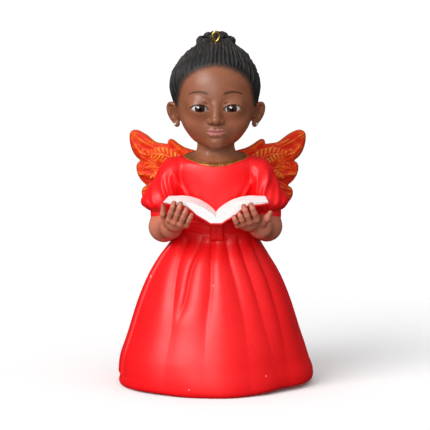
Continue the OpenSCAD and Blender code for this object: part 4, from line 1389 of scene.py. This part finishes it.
def feather_relief(u, w):
    """Height of the wing's carved face, where its gilt catches, and where painted shade lies between the strokes, over
    the wing's plane.
    """
    height = np.zeros_like(u)
    gilt = np.zeros_like(u)
    valley = np.ones_like(u)
    for spine, half, lift, strokes, lengthwise, gold_share in FEATHERS:
        pts = np.array(spine, dtype=float)
        t = np.linspace(0, 1, 40)
        fine = np.stack([curve(np.linspace(0, 1, len(pts)), pts[:, i], t) for i in (0, 1)], axis=-1)
        seg = np.linalg.norm(np.diff(fine, axis=0), axis=1)
        length = seg.sum()
        best, along, across = np.full(u.shape, 1e9), np.zeros_like(u), np.zeros_like(u)
        run = 0
        for i in range(len(fine) - 1):
            a, e = fine[i], fine[i + 1] - fine[i]
            tt = np.clip(((u - a[0]) * e[0] + (w - a[1]) * e[1]) / (e @ e), 0, 1)
            dx, dy = u - a[0] - tt * e[0], w - a[1] - tt * e[1]
            d = dx * dx + dy * dy
            m = d < best
            best = np.where(m, d, best)
            along = np.where(m, run + tt * seg[i], along)
            across = np.where(m, (e[0] * dy - e[1] * dx) / seg[i], across)
            run += seg[i]
        s = along / length
        width = half * np.clip(np.sin(math.pi * np.clip(0.08 + 0.86 * s ** 0.8, 0, 1)), 0.05, 1) ** 0.6
        q = np.sqrt(best) / width
        body = np.sqrt(np.clip(1 - q ** 2.4, 0, 1))
        here = stack(u, w, 0 * u)
        if lengthwise:
            # long strokes that follow the spine, wander, break off and start again
            phase = strokes * across + 0.75 * noise(here * 0.42, 5) + 0.25 * noise(here * 1.1, 6)
            broken = smooth(-0.55, 0.25, noise(here * np.array([0.55, 0.55, 1]), 9))
            lines = (0.5 + 0.5 * np.cos(TAU * phase)) ** 2.2 * broken
            rib = 0.8 * np.exp(-(across / 0.3) ** 2) * smooth(1.0, 0.8, s)
            lines = lines * smooth(1.0, 0.8, q)
        else:
            # a leaf of slanting barbs on one side of a curved rib
            phase = TAU * strokes * (along - 0.55 * np.abs(across)) + 0.5 * noise(here * 0.5, 3)
            lines = (0.5 + 0.5 * np.cos(phase)) ** 1.8
            lines = lines * smooth(0.10, 0.35, q) * smooth(1.0, 0.85, q)
            rib = np.exp(-(across / 0.26) ** 2) * smooth(1.0, 0.85, s)
        h = lift * body + (0.24 * rib + 0.30 * lines) * (q < 1)
        take = h > height
        worn = 0.55 + 0.45 * noise(here * 0.8, 21)
        bright = 1.0 if not lengthwise else 0.6 + 0.6 * smooth(0.35, 0.9, s) * smooth(-1, 1, across)
        border = 0.5 * np.exp(-((q - 0.95) / 0.05) ** 2)
        g = np.clip((0.6 * rib + 0.95 * lines) * worn * bright + border, 0, 1) * (q < 1)
        gilt = np.where(take, g * gold_share, gilt)
        valley = np.where(take, 1 - np.clip(0.25 + lines + rib, 0, 1), valley)
        height = np.maximum(height, h)
    return height, np.clip(gilt, 0, 1), valley


def wing_shape():
    c = Clay((2.6, -1.3, 55.8), (32.0, 3.6, 84.9), 0.17)
    poly = rounded(OUTLINE)
    u, w = np.meshgrid(c.axes[0], c.axes[2], indexing="ij")
    rim = inside_distance(poly, u, w)
    relief, _, _ = feather_relief(u, w)
    edge = np.sqrt(np.clip(-rim / 1.5, 0, 1))
    front = 0.35 + 0.45 * edge + relief * smooth(0.1, -1.0, rim)
    back = 0.5 * edge + 0.35 * relief * smooth(0, -1.2, rim)
    y = c.axes[1][None, :, None]
    # local depth: the front face is towards -Y, at 1.1 in the middle of the slab
    mid = 1.1
    d = np.maximum((mid - y) - front[:, None, :], (y - mid) - back[:, None, :])
    d = np.maximum(d * 0.8, rim[:, None, :])
    c.d = d.astype(np.float32)
    v, f = c.mesh()
    height, gilt, valley = feather_relief(v[:, 0], v[:, 2])
    r = inside_distance(poly, v[:, 0], v[:, 2])
    facing = smooth(1.0, 0.5, v[:, 1])
    gilt = np.clip(gilt * (0.35 + 0.65 * facing), 0, 1)
    # the edge band is painted darker, as painted shade
    rim_mark = smooth(-0.55, -0.1, r)
    # from the wing's own plane to its place behind the shoulder
    x, y = v[:, 0] - HINGE[0], v[:, 1]
    y = y + 0.0036 * x * x
    c, s = math.cos(SWEEP), math.sin(SWEEP)
    v = stack(HINGE[0] + x * c - y * s, HINGE[1] + x * s + y * c, v[:, 2])
    return v, f, {"gilt": gilt * (1 - 0.6 * rim_mark), "valley": valley * 0.75, "rim": rim_mark}


wv, wf, wa = wing_shape()
# the boss that joins a wing to the back
around = turns(48)
boss = [stack(5.5 + 2.55 * np.cos(around), y + 0 * around, 69 + 2.55 * np.sin(around)) for y in (8.4, 10.2, 11.6)]
bv, bf = closed_loft(np.array(boss)[:, ::-1])
for side, name in SIDES:
    v, f = join([(wv, wf), (bv, bf)])
    v[:, 2] -= 0.5 * smooth(12, 26, v[:, 0])
    v[:, 0] += (0.078 if side > 0 else 0.018) * np.clip(v[:, 0] - 9, 0, None)
    at = {k: np.concatenate([w, np.zeros(len(bv))]) for k, w in wa.items()}
    piece(f"butterfly_wing_{name}", *on_side(side, v, f), [f"wing_{name}"], "orange_wings", wings_red, at)


# ---------------------------------------------------------------- stage, light, camera

SENSOR, LENS = 36, 373
TILT = 9.5
FRAME_WIDTH = 0.1447


def stage():
    """A pale floor, a hair below the hem, that neither tints the angel nor shows in her gloss."""
    me = bpy.data.meshes.new("studio_floor")
    s = 6.0
    me.from_pydata([(-s, -s, 0), (s, -s, 0), (s, s, 0), (-s, s, 0)], [], [(0, 1, 2, 3)])
    m = Mat("pale floor")
    m.colour(m.cloud(3, (0.3, 0.945), (0.7, 0.955), detail=2))
    m.set(Roughness=0.9, Specular_IOR_Level=0.1)
    me.materials.append(m.m)
    floor = bpy.data.objects.new("studio_floor", me)
    bpy.context.scene.collection.objects.link(floor)
    floor.location.z = -0.00005
    floor.visible_glossy = False
    floor.visible_diffuse = False


# Name, azimuth and height in degrees, strength, width in degrees, and whether it shows in reflections
LIGHTS = (("key", 46, 34, 2.1, 38, True), ("front", 13, 18, 0.7, 36, True), ("low", -4, 7, 0.45, 50, False),
          ("side", -62, 26, 0.28, 60, False), ("top", -20, 70, 0.65, 80, False))


def soft_sun(name, azimuth, height, strength, angle, sheen):
    """A broad soft light. Azimuth is from straight in front of the angel, positive to the viewer's left."""
    light = bpy.data.lights.new(name, "SUN")
    light.energy = strength
    light.angle = math.radians(angle)
    ob = bpy.data.objects.new(name, light)
    a, h = math.radians(azimuth), math.radians(height)
    way = Vector((-math.sin(a) * math.cos(h), -math.cos(a) * math.cos(h), math.sin(h)))
    ob.location = way * 0.6
    ob.rotation_euler = way.to_track_quat("Z", "Y").to_euler()
    ob.visible_glossy = sheen
    bpy.context.scene.collection.objects.link(ob)


def world():
    """White walls, brighter overhead and to the viewer's left; dim in reflections and plain white to the camera."""
    w = bpy.data.worlds.new("studio")
    bpy.context.scene.world = w
    w.use_nodes = True
    t = w.node_tree
    out = next(n for n in t.nodes if n.type == "OUTPUT_WORLD")
    soft = next(n for n in t.nodes if n.type == "BACKGROUND")
    soft.inputs["Color"].default_value = (1, 1, 1, 1)
    way = t.nodes.new("ShaderNodeTexCoord")
    parts = t.nodes.new("ShaderNodeSeparateXYZ")
    t.links.new(way.outputs["Generated"], parts.inputs[0])

    def fade(value, low, high, at_low, at_high):
        n = t.nodes.new("ShaderNodeMapRange")
        for key, v in (("From Min", low), ("From Max", high), ("To Min", at_low), ("To Max", at_high)):
            n.inputs[key].default_value = v
        t.links.new(value, n.inputs["Value"])
        return n.outputs["Result"]

    def times(a, b):
        n = t.nodes.new("ShaderNodeMath")
        n.operation = "MULTIPLY"
        t.links.new(a, n.inputs[0])
        t.links.new(b, n.inputs[1])
        return n.outputs[0]
    path = t.nodes.new("ShaderNodeLightPath")
    level = times(fade(parts.outputs["X"], -0.9, 0.9, 0.46, 0.24), fade(parts.outputs["Z"], -0.35, 0.5, 0.40, 1.25))
    level = times(level, fade(path.outputs["Is Glossy Ray"], 0, 1, 1, 0.15))
    t.links.new(level, soft.inputs["Strength"])
    seen = t.nodes.new("ShaderNodeBackground")
    seen.inputs["Color"].default_value = (1, 1, 1, 1)
    mix = t.nodes.new("ShaderNodeMixShader")
    t.links.new(path.outputs["Is Camera Ray"], mix.inputs[0])
    t.links.new(soft.outputs[0], mix.inputs[1])
    t.links.new(seen.outputs[0], mix.inputs[2])
    t.links.new(mix.outputs[0], out.inputs["Surface"])


def camera():
    """A long lens in front of the angel, tilted down a little, with a view of FRAME_WIDTH metres at her place."""
    cam = bpy.data.cameras.new("camera")
    cam.sensor_width = SENSOR
    cam.lens = LENS
    tilt = math.radians(TILT)
    dist = LENS / SENSOR * FRAME_WIDTH
    aim = Vector((-0.0003, 0, 0.0571))
    ob = bpy.data.objects.new("camera", cam)
    ob.location = aim + Vector((0, -math.cos(tilt), math.sin(tilt))) * dist
    ob.rotation_euler = (aim - ob.location).to_track_quat("-Z", "Y").to_euler()
    cam.clip_start, cam.clip_end = 0.01, 20
    bpy.context.scene.collection.objects.link(ob)
    bpy.context.scene.camera = ob


stage()
world()
for light in LIGHTS:
    soft_sun(*light)
camera()
bpy.context.scene.view_settings.view_transform = "Standard"
